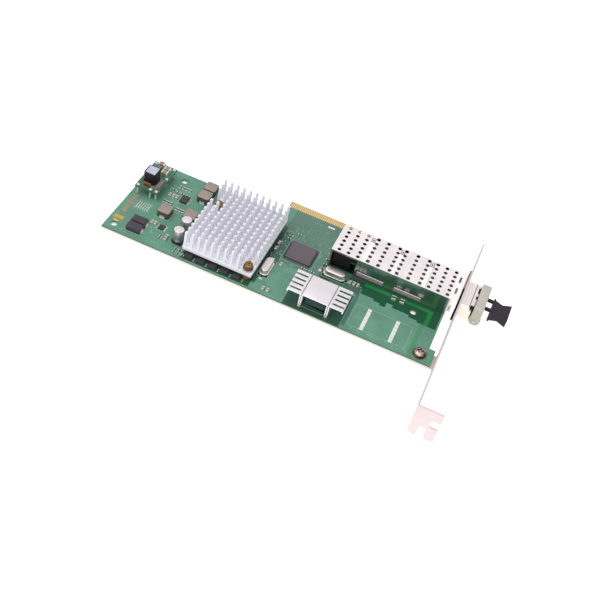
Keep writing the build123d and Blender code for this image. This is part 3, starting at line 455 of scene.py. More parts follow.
class Finish:
    """A material in the making, with one short way for each kind of node."""

    def __init__(self, name, **plain):
        self.material = bpy.data.materials.new(name)
        self.material.use_nodes = True
        self.nodes = self.material.node_tree.nodes
        self.links = self.material.node_tree.links
        self.shader = self.nodes["Principled BSDF"]
        self.space = self.nodes.new("ShaderNodeTexCoord").outputs
        for key, value in plain.items():
            self.shader.inputs[SOCKETS.get(key, key.title())].default_value = value

    def feed(self, node, values):
        """Links or sets a node's inputs."""
        for key, value in values.items():
            if isinstance(value, bpy.types.NodeSocket):
                self.links.new(value, node.inputs[key])
            else:
                node.inputs[key].default_value = value
        return node

    def node(self, kind, values, **settings):
        """A new node with its settings and inputs."""
        node = self.nodes.new(kind)
        for key, value in settings.items():
            setattr(node, key, value)
        return self.feed(node, values)

    def noise(self, size, stretch=(1, 1, 1), detail=2.0):
        """Noise with features of that size in metres."""
        scale = [part / size for part in stretch]
        place = self.node("ShaderNodeMapping", {"Vector": self.space["Object"], "Scale": scale})
        return self.node("ShaderNodeTexNoise", {"Vector": place.outputs[0], "Scale": 1.0,
                                                "Detail": detail}).outputs[0]

    def stripes(self, turn):
        """Wavy bands in the board's plane, turned by that angle."""
        place = self.node("ShaderNodeMapping", {"Vector": self.space["Object"],
                                                "Rotation": (0, 0, turn)})
        bands = self.node("ShaderNodeTexWave", {"Vector": place.outputs[0], "Scale": 210.0,
                                                "Distortion": 1.5, "Detail": 1.0, "Detail Scale": 0.6},
                          wave_type="BANDS", bands_direction="Y")
        return bands.outputs["Fac"]

    def maths(self, operation, first, second=0.0):
        return self.node("ShaderNodeMath", {0: first, 1: second}, operation=operation).outputs[0]

    def times(self, first, second):
        return self.maths("MULTIPLY", first, second)

    def above(self, value, limit):
        return self.maths("GREATER_THAN", value, limit)

    def below(self, value, limit):
        return self.maths("LESS_THAN", value, limit)

    def spread(self, value, low, high, to_low=0.0, to_high=1.0):
        """Takes a value from one range to another."""
        return self.node("ShaderNodeMapRange", {"Value": value, "From Min": low, "From Max": high,
                                                "To Min": to_low, "To Max": to_high}).outputs[0]

    def mix(self, factor, first, second):
        """The first colour where the factor is 0 and the second where it is 1."""
        def full(value):
            return value if isinstance(value, bpy.types.NodeSocket) else (*value, 1.0)
        return self.node("ShaderNodeMix", {0: factor, 6: full(first), 7: full(second)},
                         data_type="RGBA").outputs[2]

    def vary(self, noise, first, second, margin=0.3):
        """Runs from one colour to another as a noise rises."""
        return self.mix(self.spread(noise, margin, 1 - margin), first, second)

    def axis(self, name, source="Object"):
        return self.node("ShaderNodeSeparateXYZ", {0: self.space[source]}).outputs[name]

    def upward(self):
        """1 on faces that look up and 0 elsewhere."""
        return self.above(self.axis("Z", "Normal"), 0.6)

    def window(self, axis, low, high):
        """1 between two places on an axis and 0 elsewhere."""
        value = self.axis(axis)
        return self.times(self.above(value, low), self.below(value, high))

    def patch(self, *rectangles):
        """1 inside rectangles of the board, in millimetres from its near left corner."""
        found = None
        for x0, x1, y0, y1 in rectangles:
            low, high = spot(x0, y0), spot(x1, y1)
            inside = self.times(self.window("X", low.x, high.x), self.window("Y", low.y, high.y))
            found = inside if found is None else self.maths("MAXIMUM", found, inside)
        return found

    def colour(self, value):
        self.feed(self.shader, {"Base Color": value})

    def rough(self, value, low, high):
        """Roughness that rises with a noise."""
        self.feed(self.shader, {"Roughness": self.spread(value, 0.3, 0.7, low, high)})

    def bump(self, height, depth):
        """Bumps of that depth in metres."""
        node = self.node("ShaderNodeBump", {"Height": height, "Distance": depth})
        self.feed(self.shader, {"Normal": node.outputs[0]})


def tint(colour, factor):
    """A lighter or darker colour."""
    return tuple(min(1.0, value * factor) for value in colour)


def grainy(name, colour, roughness, metallic=0.0, tone=0.1, size=0.6, depth=0.01,
           stretch=(1, 1, 1), **plain):
    """A finish whose tone, gloss and surface vary with one grain, its size in millimetres."""
    made = Finish(name, metallic=metallic, roughness=roughness, **plain)
    grain = made.noise(size * MM, stretch)
    wide = made.noise(size * MM * 9)
    blend = made.times(made.maths("ADD", grain, wide), 0.5)
    made.colour(made.vary(blend, tint(colour, 1 - tone), tint(colour, 1 + tone), 0.35))
    made.rough(blend, roughness * 0.85, roughness * 1.15)
    if depth:
        made.bump(grain, depth * MM)
    return made.material


# Parts of the board whose mask differs, and patches of painted shade: left, right, near and far side
# in millimetres
BARE_ZONE = ((116.5, 124.0, 29.0, 36.4), (124.0, 131.0, 26.1, 36.4), (131.0, 134.5, 24.9, 36.4),
             (134.5, 137.4, 23.7, 36.4), (137.4, 140.6, 27.2, 36.4), (140.6, 149.4, 25.4, 36.4),
             (149.4, 154.0, 24.0, 36.4), (154.0, 163.6, 22.9, 36.4))
BRIGHT_LINE = ((124.4, 159.6, 31.9, 33.9), (157.4, 159.6, 23.2, 33.9))
FAINT_LINE = ((155.8, 158.2, 0.0, 24.0),)
DARK_BAND = ((122.3, 124.2, 2.0, 25.0),)
ROUTED_FIELD = ((76.2, 103.2, 24.0, 64.0),)
# Painted shade on the board among the small parts by the cage's rear
CROWDED_SHADE = ((101.6, 123.6, 24.4, 36.4),)
# Painted shade on the board under the cage
CAGE_SHADE = ((104.0, 164.0, 36.0, 56.0),)
# Painted shade by the main heat sink's near edge and under the folded sink
SHADED = ((40.4, 75.8, 0.9, 8.0), (93.5, 122.0, 0.0, 22.5))
# Painted shade on the board beside the main heat sink
SINK_SHADE = ((75.0, 81.6, 23.2, 46.0),)
# Painted shadow on the board under the main heat sink's overhang
OVERHANG_SHADE = ((75.0, 77.4, 5.0, 49.5),)
# Below this height the board's cut edge is painted pale as a highlight, above it dark as shade
PALE_EDGE_TOP = BOARD_HIGH.z - 0.7 * MM
GOLD_PAD = (0.0, 8.0, 7.5, 12.0)

# The ridge across the shell's nose, where shade is painted, and where the foam goes from black to
# brown
SHELL_RIDGE_SHADE = (spot(173.9, 0).x, spot(174.3, 0).x)
FOAM_BROWNING = (spot(0, 43).y, spot(0, 45).y)

# The two spring pins of the main heat sink, and the painted shade in the middle and in a ring on their
# heads
PIN_PLACES = (spot(72.66, 6.7), spot(43.26, 37.14))
PIN_MIDDLE_SHADE = 0.5 * MM
PIN_RING_SHADE = (1.35 * MM, 1.6 * MM)


def board_finish(colours):
    """Solder mask that is pale over copper, deep over bare laminate, darkened in patches as painted
    shade, and cut at the edges.
    """
    made = Finish("board_mask", roughness=0.36, specular=0.2)
    cloud = made.noise(11 * MM, detail=3.0)
    weave = made.noise(0.45 * MM)
    base = made.vary(cloud, tint(colours.mask, 0.86), tint(colours.mask, 1.1))
    busy = made.spread(made.noise(8 * MM), 0.46, 0.6)
    for turn, strength in ((0.0, 0.4), (math.pi / 4, 0.3)):
        streaks = made.times(made.spread(made.stripes(turn), 0.6, 0.8), busy)
        base = made.mix(made.times(streaks, strength), base, tint(colours.mask, 0.7))
    for places, strength, tone in ((BARE_ZONE, 1.0, colours.mask_bare),
                                   (BRIGHT_LINE, 1.0, colours.mask_line),
                                   (FAINT_LINE, 0.4, tint(colours.mask_line, 1.2)),
                                   (DARK_BAND, 0.75, shade(74, 112, 104)),
                                   (ROUTED_FIELD, 0.5, shade(92, 108, 108)),
                                   (CROWDED_SHADE, 0.7, shade(44, 72, 64)),
                                   (CAGE_SHADE, 1.0, shade(14, 46, 36)),
                                   (SHADED, 0.85, shade(22, 64, 48)),
                                   (SINK_SHADE, 0.5, shade(34, 58, 50)),
                                   (OVERHANG_SHADE, 0.75, shade(34, 58, 50))):
        base = made.mix(made.times(made.patch(*places), strength), base, tone)
    side = made.below(made.maths("ABSOLUTE", made.axis("Z", "Normal")), 0.5)
    lower = made.below(made.axis("Z"), PALE_EDGE_TOP)
    # Painted light on the cut edge: laminate darkened along the top as shade, a pale lower part as
    # highlight
    lit_and_shaded_edge = made.mix(lower, tint(colours.laminate, 0.2), shade(244, 248, 236))
    made.colour(made.mix(side, base, lit_and_shaded_edge))
    made.rough(cloud, 0.3, 0.44)
    made.bump(weave, 0.006 * MM)
    return made.material


def sheet_finish(colours):
    """Bright nickel sheet of the cage, a soft mirror outside, with painted shade inside and on its
    upright walls, a painted reflection on its lips and a painted highlight on its ribs.
    """
    made = Finish("bright_nickel", metallic=1.0)
    wide = made.noise(7 * MM, detail=1.0)
    fine = made.noise(0.5 * MM, (1, 6, 1))
    skin = 0.12 * MM
    # Painted shade inside the cage
    inside = made.times(made.window("Y", WALL_NEAR + skin, WALL_FAR - skin),
                        made.below(made.axis("Z"), CAGE_HIGH.z - skin))
    inside = made.times(inside, made.window("X", CAGE_LOW.x + skin, CAGE_HIGH.x))
    # Painted shade on the upright walls, darker than the top
    upright = made.above(made.maths("ABSOLUTE", made.axis("Y", "Normal")), 0.5)
    shaded_walls = made.times(upright, made.below(made.axis("X"), CAGE_HIGH.x))
    # Painted reflection on the lips: a dull grey with little metal
    lip_reflection = made.times(made.below(made.axis("Y"), WALL_NEAR - 0.8 * LIP),
                      made.below(made.axis("X"), CAGE_HIGH.x - 0.5 * MM))
    # Painted highlight on the raised ribs
    lit_ribs = made.above(made.axis("Z"), CAGE_HIGH.z + 0.1 * MM)
    outside = made.vary(wide, tint(colours.nickel, 0.93), tint(colours.nickel, 1.02))
    outside = made.mix(made.times(shaded_walls, 0.45), outside, shade(120, 118, 120))
    outside = made.mix(lit_ribs, outside, shade(252, 248, 248))
    outside = made.mix(lip_reflection, outside, shade(172, 158, 158))
    made.colour(made.mix(inside, outside, shade(122, 110, 112)))
    made.feed(made.shader, {"Metallic": made.maths("SUBTRACT", 1.0, made.times(lip_reflection, 0.8))})
    made.rough(fine, 0.14, 0.24)
    made.bump(wide, 0.015 * MM)
    return made.material


def ferrite_finish(colours):
    """Pressed powder: a pale speckled top and speckled sides darkened as painted shade."""
    made = Finish("pressed_powder", roughness=0.62, specular=0.3)
    speck = made.noise(0.35 * MM, detail=3.0)
    top = made.vary(speck, tint(colours.ferrite, 0.72), tint(colours.ferrite, 1.16), 0.35)
    # Painted shade on the sides, darker than the top
    side = made.vary(speck, shade(70, 60, 54), shade(112, 98, 88), 0.35)
    made.colour(made.mix(made.upward(), side, top))
    made.bump(speck, 0.03 * MM)
    return made.material


def fin_finish(colours):
    """Anodised aluminium with the saw marks of its pins, and a painted highlight on faces that look
    up.
    """
    made = Finish("anodised_aluminium", metallic=0.15)
    saw = made.noise(0.35 * MM, (1, 1, 8))
    wide = made.noise(6 * MM)
    body = made.vary(saw, tint(colours.aluminium, 0.94), tint(colours.aluminium, 1.05))
    # Painted highlight on the faces that look up
    made.colour(made.mix(made.upward(), body, tint(colours.aluminium, 1.12)))
    made.rough(wide, 0.38, 0.5)
    made.bump(saw, 0.012 * MM)
    return made.material


def shell_finish(colours):
    """Cast zinc of the transceiver, with painted shade where the cage covers it, along the nose's
    ridge and on its near side.
    """
    made = Finish("zinc_casting", metallic=0.7, roughness=0.34)
    grain = made.noise(0.4 * MM)
    outside = made.vary(grain, tint(colours.nickel, 0.93), tint(colours.nickel, 1.02), 0.35)
    # Painted shade: a dark line along the ridge across the nose
    outside = made.mix(made.window("X", *SHELL_RIDGE_SHADE), outside, shade(150, 130, 132))
    # Painted shade: near-facing sides a darker cream
    shaded_near_side = made.below(made.axis("Y", "Normal"), -0.5)
    outside = made.mix(shaded_near_side, outside, shade(236, 230, 216))
    # Painted shade on the shell where the cage covers it
    shaded_covered = made.below(made.axis("X"), CAGE_HIGH.x)
    made.colour(made.mix(shaded_covered, outside, shade(112, 101, 103)))
    made.rough(grain, 0.3, 0.4)
    made.bump(grain, 0.008 * MM)
    return made.material


def brass_finish(colours):
    """Brass with painted shade in a ring and in the middle of each head."""
    made = Finish("turned_brass", metallic=0.75)
    grain = made.noise(0.4 * MM)
    body = made.vary(grain, tint(colours.brass, 0.85), tint(colours.brass, 1.2))
    for place in PIN_PLACES:
        flat = made.node("ShaderNodeVectorMath", {0: made.space["Object"], 1: (1, 1, 0)},
                         operation="MULTIPLY").outputs[0]
        away = made.node("ShaderNodeVectorMath", {0: flat, 1: (place.x, place.y, 0)},
                         operation="DISTANCE").outputs["Value"]
        # Painted shade: a dark middle standing in for the head's recess, and a dark ring
        middle = made.below(away, PIN_MIDDLE_SHADE)
        ring = made.times(made.above(away, PIN_RING_SHADE[0]), made.below(away, PIN_RING_SHADE[1]))
        body = made.mix(made.maths("MAXIMUM", middle, ring), body, shade(58, 38, 22))
    made.colour(body)
    made.rough(grain, 0.3, 0.42)
    made.bump(grain, 0.006 * MM)
    return made.material


def package_finish():
    """Grey moulded package, darker down its sides as painted shade."""
    made = Finish("grey_package", roughness=0.5, specular=0.2)
    grain = made.noise(0.22 * MM)
    top = made.vary(grain, shade(104, 96, 102), shade(112, 104, 110), 0.35)
    # Painted shade: the sides darker than the top
    side = made.vary(grain, shade(50, 48, 54), shade(58, 56, 62), 0.35)
    made.colour(made.mix(made.upward(), side, top))
    made.bump(grain, 0.006 * MM)
    return made.material


def can_finish():
    """Drawn can: a pale top over grey brushed sides."""
    made = Finish("drawn_can", metallic=0.6)
    brushed = made.noise(0.5 * MM, (1, 1, 0.15))
    side = made.vary(brushed, shade(140, 138, 148), shade(186, 182, 190))
    top = made.vary(made.noise(0.8 * MM), shade(222, 206, 212), shade(240, 232, 236), 0.35)
    made.colour(made.mix(made.upward(), side, top))
    made.rough(brushed, 0.28, 0.4)
    made.bump(brushed, 0.004 * MM)
    return made.material


def foam_finish():
    """Black foam of the gasket, turning brown towards the far end."""
    made = Finish("gasket_foam", roughness=0.9, specular=0.1)
    pores = made.noise(0.3 * MM)
    browning = made.spread(made.axis("Y"), *FOAM_BROWNING)
    black = made.vary(pores, shade(20, 19, 20), shade(38, 36, 38))
    brown = made.vary(pores, shade(140, 124, 120), shade(168, 152, 148))
    made.colour(made.mix(browning, black, brown))
    made.bump(pores, 0.05 * MM)
    return made.material


def strip_finish():
    """Bright solder with fine dark ticks across it, and gold on the pad at the board's end."""
    made = Finish("ticked_solder", metallic=0.5)
    grain = made.noise(0.5 * MM)
    ticks = made.noise(0.7 * MM, (0.4, 1.6, 1))
    bright = made.vary(grain, shade(226, 232, 222), shade(244, 247, 240))
    dark = made.spread(ticks, 0.6, 0.66)
    strip = made.mix(made.times(dark, 0.8), bright, shade(70, 84, 74))
    made.colour(made.mix(made.patch(GOLD_PAD), strip, shade(214, 162, 66)))
    made.rough(grain, 0.34, 0.5)
    made.bump(grain, 0.02 * MM)
    return made.material


class MakeFinishes(bpy.types.Operator):
    """Make the card's materials"""
    bl_idname = "card.make_finishes"
    bl_label = "Finishes"

    # Display colour, roughness, metallic, tone, and size and depth of the grain in millimetres
    GLOSSY = {
        "solder_tin": ((216, 220, 214), 0.4, 0.5, 0.12, 0.5, 0.02),
        "tinned_lead": ((226, 228, 224), 0.4, 0.5, 0.1, 0.3, 0.004),
        # Painted shade: flat-pack leads darkened to the shade under the chip's edge
        "shaded_lead": ((92, 104, 98), 0.5, 0.4, 0.1, 0.3, 0.004),
        "bracket_nickel": ((216, 203, 203), 0.36, 0.7, 0.05, 0.5, 0.006, (1, 0.06, 1)),
        "pivot_steel": ((205, 202, 200), 0.3, 0.9, 0.07, 0.4, 0.004),
        # Painted reflection: the screw's wide tone gives bright and dark patches
        "screw_plating": ((186, 166, 158), 0.16, 1.0, 0.85, 1.0, 0.02),
        "washer_plating": ((112, 86, 78), 0.2, 1.0, 0.5, 0.8, 0.01),
        "round_wire": ((104, 82, 62), 0.3, 0.95, 0.1, 0.3, 0.004),
        "tinned_sheet": ((232, 226, 230), 0.34, 0.6, 0.05, 0.6, 0.006),
        "drawn_crystal": ((226, 218, 214), 0.3, 0.75, 0.1, 0.9, 0.006),
        "enamelled_copper": ((140, 96, 66), 0.28, 0.7, 0.2, 0.3, 0.004),
        "bare_copper": ((160, 146, 122), 0.46, 0.3, 0.15, 0.5, 0.006),
        "spacer_resin": ((156, 92, 48), 0.5, 0.0, 0.2, 0.5, 0.01),
        "tan_ceramic": ((164, 142, 126), 0.5, 0.0, 0.14, 0.3, 0.008),
        "grey_pad": ((165, 165, 168), 0.7),
        "card_laminate": ((52, 108, 74), 0.4),
        "blank_label": ((204, 205, 224), 0.55, 0.0, 0.15, 1.4, 0.004),
        "tented_via": ((152, 190, 168), 0.45, 0.0, 0.1, 0.4, 0.004),
        "mask_over_trace": ((110, 146, 132), 0.34, 0.0, 0.1, 1.5, 0.0),
    }
    # The same for what has little gloss
    DULL = {
        "moulded_black": ((32, 30, 33), 0.5, 0.0, 0.2, 0.25, 0.006),
        # Painted shade and green reflection: a greenish dark case under the folded sink
        "shaded_regulator_case": ((56, 82, 76), 0.5, 0.0, 0.12, 0.22, 0.006),
        "pale_case": ((142, 132, 130), 0.5, 0.0, 0.1, 0.3, 0.006),
        "tantalum_case": ((78, 72, 82), 0.45, 0.0, 0.1, 0.3, 0.006),
        "converter_mask": ((88, 126, 107), 0.35, 0.0, 0.3, 1.2, 0.01),
    }
    DULL_GLOSS = 0.2

    def execute(self, context):
        colours = context.scene.card_colours
        for name, (colour, *grain) in self.GLOSSY.items():
            MATERIALS[name] = grainy(name, shade(*colour), *grain)
        for name, (colour, *grain) in self.DULL.items():
            MATERIALS[name] = grainy(name, shade(*colour), *grain, specular=self.DULL_GLOSS)
        MATERIALS.update(
            board_mask=board_finish(colours),
            bright_nickel=sheet_finish(colours),
            pressed_powder=ferrite_finish(colours),
            anodised_aluminium=fin_finish(colours),
            zinc_casting=shell_finish(colours),
            turned_brass=brass_finish(colours),
            grey_package=package_finish(),
            drawn_can=can_finish(),
            gasket_foam=foam_finish(),
            ticked_solder=strip_finish(),
            plated_gold=grainy("plated_gold", colours.gold, 0.34, 0.6, 0.06, 0.4, 0.003,
                               (1, 0.1, 1)),
            latch_paint=grainy("latch_paint", colours.latch, 0.5, 0.1, 0.12, 0.35, 0.03),
            legend_ink=grainy("legend_ink", colours.ink, 0.6, 0.0, 0.1, 0.4, 0.004),
            soft_rubber=grainy("soft_rubber", colours.plug, 0.55, 0.0, 0.16, 0.4, 0.012,
                               specular=self.DULL_GLOSS),
            chip_package=grainy("chip_package", colours.package, 0.5, 0.0, 0.12, 0.22, 0.006,
                                specular=self.DULL_GLOSS),
        )
        return {"FINISHED"}


def seen_rays(tree):
    """1 for rays from the camera, off gloss and through glass."""
    path = tree.nodes.new("ShaderNodeLightPath").outputs
    found = path["Is Camera Ray"]
    for kind in ("Is Glossy Ray", "Is Transmission Ray"):
        either = tree.nodes.new("ShaderNodeMath")
        either.operation = "MAXIMUM"
        tree.links.new(found, either.inputs[0])
        tree.links.new(path[kind], either.inputs[1])
        found = either.outputs[0]
    return found


class SetStage(bpy.types.Operator):
    """Put up the floor, the lamps, the sky and the camera"""
    bl_idname = "card.set_stage"
    bl_label = "Stage"

    FLOOR_SIZE = 6.0
    FLOOR_GLOW = 0.8
    KEY_SIZE = 0.9
    KEY_PLACE = (-0.3, -0.25, 0.85)
    FILL_SIZE = 0.8
    FILL_PLACE = (0.35, -0.6, 0.5)
    WHITE = (1, 1, 1, 1)

    def lamp(self, name, place, target, size, watts):
        """A square lamp that looks at the target."""
        bpy.ops.object.light_add(type="AREA", location=place)
        lamp = bpy.context.object
        lamp.name = name
        lamp.data.size = size
        lamp.data.energy = watts
        lamp.rotation_euler = (target - place).to_track_quat("-Z", "Y").to_euler()

    def floor(self, colour, middle):
        """A pale floor that looks white and takes the card's shadow."""
        deselect()
        bpy.ops.mesh.primitive_plane_add(size=self.FLOOR_SIZE,
                                         location=(middle.x, middle.y, CAD_BOX[0][2]))
        floor = bpy.context.object
        floor.name = "studio_floor"
        made = Finish("studio_floor", roughness=0.9, specular=0.0)
        glow = made.times(seen_rays(made.material.node_tree), self.FLOOR_GLOW)
        made.feed(made.shader, {"Base Color": (*colour, 1), "Emission Color": self.WHITE,
                                "Emission Strength": glow})
        floor.data.materials.append(made.material)

    def sky(self, world, light):
        """Even light from all round, and white where it is seen."""
        world.use_nodes = True
        tree = world.node_tree
        background = tree.nodes["Background"]
        strength = tree.nodes.new("ShaderNodeMapRange")
        strength.inputs["To Min"].default_value = light
        strength.inputs["To Max"].default_value = 1.0
        tree.links.new(seen_rays(tree), strength.inputs["Value"])
        tree.links.new(strength.outputs[0], background.inputs["Strength"])
        background.inputs["Color"].default_value = self.WHITE

    def camera(self, stage):
        """The camera of the photograph, from its heading, tilt and roll."""
        ahead = Vector((math.cos(stage.tilt) * math.sin(stage.heading),
                        math.cos(stage.tilt) * math.cos(stage.heading), -math.sin(stage.tilt)))
        level = Vector((math.cos(stage.heading), -math.sin(stage.heading), 0))
        above = level.cross(ahead)
        right = math.cos(stage.roll) * level + math.sin(stage.roll) * above
        up = -math.sin(stage.roll) * level + math.cos(stage.roll) * above
        bpy.ops.object.camera_add()
        camera = bpy.context.object
        camera.name = "photo_camera"
        turn = Matrix((right, up, -ahead)).transposed().to_4x4()
        camera.matrix_world = Matrix.Translation(Vector(stage.camera_place)) @ turn
        camera.data.lens = stage.lens
        camera.data.shift_x, camera.data.shift_y = stage.shift
        camera.data.clip_start = 0.01
        return camera

    def execute(self, context):
        scene = context.scene
        stage = scene.card_stage
        middle = (Vector(CAD_BOX[0]) + Vector(CAD_BOX[1])) / 2
        self.floor(scene.card_colours.floor, middle)
        scene.world = bpy.data.worlds.new("studio_sky")
        self.sky(scene.world, stage.sky)
        for name, place, size, watts in (("key_lamp", self.KEY_PLACE, self.KEY_SIZE, stage.key),
                                         ("fill_lamp", self.FILL_PLACE, self.FILL_SIZE, stage.fill)):
            self.lamp(name, middle + Vector(place), middle, size, watts)
        scene.camera = self.camera(stage)
        scene.view_settings.view_transform = "Standard"
        return {"FINISHED"}


class DressBoard(bpy.types.Operator):
    """Give the board, its contacts and its pads their finishes"""
    bl_idname = "card.dress_board"
    bl_label = "Board"

    def execute(self, context):
        paint("board_mask", "circuit_board")
        paint("plated_gold", "edge_contacts_top", "edge_contacts_bottom")
        paint("ticked_solder", "tinned_pads")
        return {"FINISHED"}


class DrawLegend(bpy.types.Operator):
    """Print plain outlines and ticks on the board"""
    bl_idname = "card.draw_legend"
    bl_label = "Legend"

    # In millimetres on the board: line width, gap round a part, and rounding and sides of the rest
    WIDTH = 0.18
    GAP = 0.45
    ROUNDING = 1.0
    BOXED = ("power_inductor_1", "power_inductor_2", "tantalum_capacitor_a", "tantalum_capacitor_b",
             "interface_chip_leads", "clock_buffer", "crystal_a", "crystal_b", "regulator_chip_a",
             "regulator_chip_b", "power_regulator")
    OUTLINES = ((124.7, 153.8, 4.0, 18.9), (76.9, 81.6, 42.6, 47.0), (76.9, 81.6, 47.6, 52.0),
                (6.0, 13.8, 19.4, 26.6))
    TICKS = ((120.6, 123.4, 29.7, 30.0), (117.6, 120.4, 31.5, 31.8), (83.2, 85.0, 7.2, 7.5),
             (135.6, 141.6, 2.6, 2.8), (28.4, 30.2, 5.8, 6.0), (18.2, 20.4, 24.2, 24.5),
             (2.0, 2.3, 12.0, 13.4), (15.2, 16.6, 42.6, 42.9))

    def execute(self, context):
        thickness = context.scene.card_sizes.ink_thickness
        lines = []
        for node in self.BOXED:
            x0, x1, y0, y1, _, _ = board_box(node)
            sides = (x0 - self.GAP, x1 + self.GAP, y0 - self.GAP, y1 + self.GAP)
            lines.append(outline(*sides, self.WIDTH, thickness))
        for sides in self.OUTLINES:
            lines.append(outline(*sides, self.WIDTH, thickness, self.ROUNDING))
        for sides in self.TICKS:
            lines.append(plate(*sides, 0, thickness / MM))
        add_piece(join(lines, "legend_lines"), "legend_ink", "label_white")
        return {"FINISHED"}


class LayTraces(bpy.types.Operator):
    """Lay raised traces, vias and bare pads on the board"""
    bl_idname = "card.lay_traces"
    bl_label = "Traces and pads"

    # Sides, places and steps are in millimetres on the board
    SEED = 7
    VIA_RADIUS, VIA_BORE, VIA_SIDES = 0.36, 0.16, 10
    # Four sides and the number of vias between them
    VIA_ZONES = ((76.5, 82.0, 24.0, 41.5, 16), (98.0, 102.5, 20.0, 60.0, 18),
                 (84.0, 96.0, 43.2, 62.5, 20), (15.0, 29.5, 33.0, 42.5, 16),
                 (2.0, 30.0, 1.5, 3.4, 12), (125.0, 156.0, 1.2, 3.4, 12),
                 (84.0, 94.0, 16.0, 26.0, 12), (19.0, 29.0, 6.0, 12.0, 10))
    # Traces that fan out from the contacts: first place and step of each one and of its bend
    FAN_COUNT = 22
    FAN_START, FAN_STEP, FAN_ASIDE = 77.5, 1.05, 1.6
    FAN_BENDS = ((54.0, 0.35), (52.0, 0.45))
    FAN_NEAR, FAN_NEAR_SPREAD, FAN_FAR = 43.2, 3, 63.6
    # Runs away from the contacts, by left side, near end and far end, each with its step
    DEEP_COUNT = 9
    DEEP_RUNS = ((98.2, 0.55), (18.5, 0.5), (27.0, 0.8))
    # Runs along the board, by near side and right end, each with its step
    LONG_COUNT, LONG_LEFT = 7, 83.0
    LONG_RUNS = ((15.6, 0.6), (95.5, -1.0))
    DRIVER_PADS = (40.6, 46.9, 53.2, 59.4, 65.6, 71.9)
    DRIVER_ROWS = ((1.9, 2.7), (3.1, 3.9))
    DRIVER_WIDTH = 0.6
    SEAT_PADS = ((78.1, 79.7, 8.3, 9.7), (78.1, 79.7, 23.4, 24.8), (100.8, 102.3, 29.0, 30.6),
                 (115.8, 117.2, 29.0, 30.6))
    STRIPE_COUNT, STRIPE_START, STRIPE_STEP, STRIPE_WIDTH = 6, 7.0, 1.15, 0.5
    STRIPE_ENDS = (20.2, 25.8)
    COPPER_PADS = ((2.5, 5.0, 14.2, 16.8), (2.5, 5.0, 17.3, 19.9), (2.5, 5.0, 20.4, 23.0),
                   (2.5, 5.0, 23.5, 26.1), (2.5, 5.0, 26.6, 28.6))
    GOLD_TAIL = (2.6, 5.2, 6.6, 7.3)
    TAIL_EDGE = 0.01 * MM

    def traces(self, width, height, chance):
        """The fan of traces and the runs on both sides of the square chip."""
        lines = []
        for number in range(self.FAN_COUNT):
            x = self.FAN_START + number * self.FAN_STEP
            left = x - self.FAN_ASIDE
            first, step = self.FAN_BENDS[number % 2]
            bend = first + step * number
            near = self.FAN_NEAR + chance.uniform(0, self.FAN_NEAR_SPREAD)
            lines.append(plate(x, x + width, bend, self.FAN_FAR, 0, height))
            lines.append(plate(left, x + width, bend - width, bend, 0, height))
            lines.append(plate(left, left + width, near, bend, 0, height))
        for number in range(self.DEEP_COUNT):
            x, near, far = (first + number * step for first, step in self.DEEP_RUNS)
            lines.append(plate(x, x + width, near, far, 0, height))
        for number in range(self.LONG_COUNT):
            y, right = (first + number * step for first, step in self.LONG_RUNS)
            lines.append(plate(self.LONG_LEFT, right, y, y + width, 0, height))
        return lines

    def vias(self, thickness, chance):
        """Rings strewn over each zone."""
        places = []
        for x0, x1, y0, y1, count in self.VIA_ZONES:
            for _ in range(count):
                places.append(spot(chance.uniform(x0, x1), chance.uniform(y0, y1)))
        return copies(flat_ring(self.VIA_RADIUS, self.VIA_BORE, thickness, self.VIA_SIDES), places)

    def pads(self, height):
        """Tinned pads by the small chips, under the crystals and of the striped footprint."""
        pads = []
        for x in self.DRIVER_PADS:
            for row in self.DRIVER_ROWS:
                pads.append(plate(x, x + self.DRIVER_WIDTH, *row, 0, height))
        for sides in self.SEAT_PADS:
            pads.append(plate(*sides, 0, 4 * height))
        for number in range(self.STRIPE_COUNT):
            x = self.STRIPE_START + number * self.STRIPE_STEP
            pads.append(plate(x, x + self.STRIPE_WIDTH, *self.STRIPE_ENDS, 0, height))
        return pads

    def execute(self, context):
        sizes = context.scene.card_sizes
        width, height = sizes.trace_width / MM, sizes.trace_thickness / MM
        chance = random.Random(self.SEED)
        lines = self.traces(width, height, chance)
        add_piece(join(lines, "raised_traces"), "mask_over_trace", "board")
        vias = self.vias(sizes.trace_thickness, chance)
        add_piece(join(vias, "tented_vias"), "tented_via", "board")
        add_piece(join(self.pads(height), "bare_tinned_pads"), "solder_tin", "solder")
        copper = [plate(*sides, 0, height) for sides in self.COPPER_PADS]
        add_piece(join(copper, "bare_copper_pads"), "bare_copper", "copper_wire")
        tail = soften(plate(*self.GOLD_TAIL, 0, height), self.TAIL_EDGE)
        add_piece(join([tail], "test_pad_tail"), "plated_gold", "gold_plate")
        return {"FINISHED"}


class CapParts(bpy.types.Operator):
    """Put tinned caps on the ends of the small chip parts"""
    bl_idname = "card.cap_parts"
    bl_label = "End caps"

    # The share of a part's length under each cap
    CAPPED = {"chip_resistors": 0.26, "chip_capacitors": 0.26, "resistor_arrays": 0.26,
              "surface_diodes": 0.24, "converter_capacitors": 0.2}

    def execute(self, context):
        for node, share in self.CAPPED.items():
            add_piece(join(end_caps(node, share), f"{node}_caps"), "solder_tin", "solder")
        return {"FINISHED"}


class DressBracket(bpy.types.Operator):
    """Bracket, gasket, screw and washer"""
    bl_idname = "card.dress_bracket"
    bl_label = "Bracket"

    def execute(self, context):
        edge = context.scene.card_sizes.edge
        rework("mounting_bracket", "bracket_sheet", "bracket_nickel", "bracket_steel", edge)
        rework("bracket_screw", "pan_head_screw", "screw_plating", "screw_steel", edge)
        rework("screw_washer", "plated_washer", "washer_plating", "screw_steel", edge / 2)
        paint("gasket_foam", "bezel_gasket")
        return {"FINISHED"}


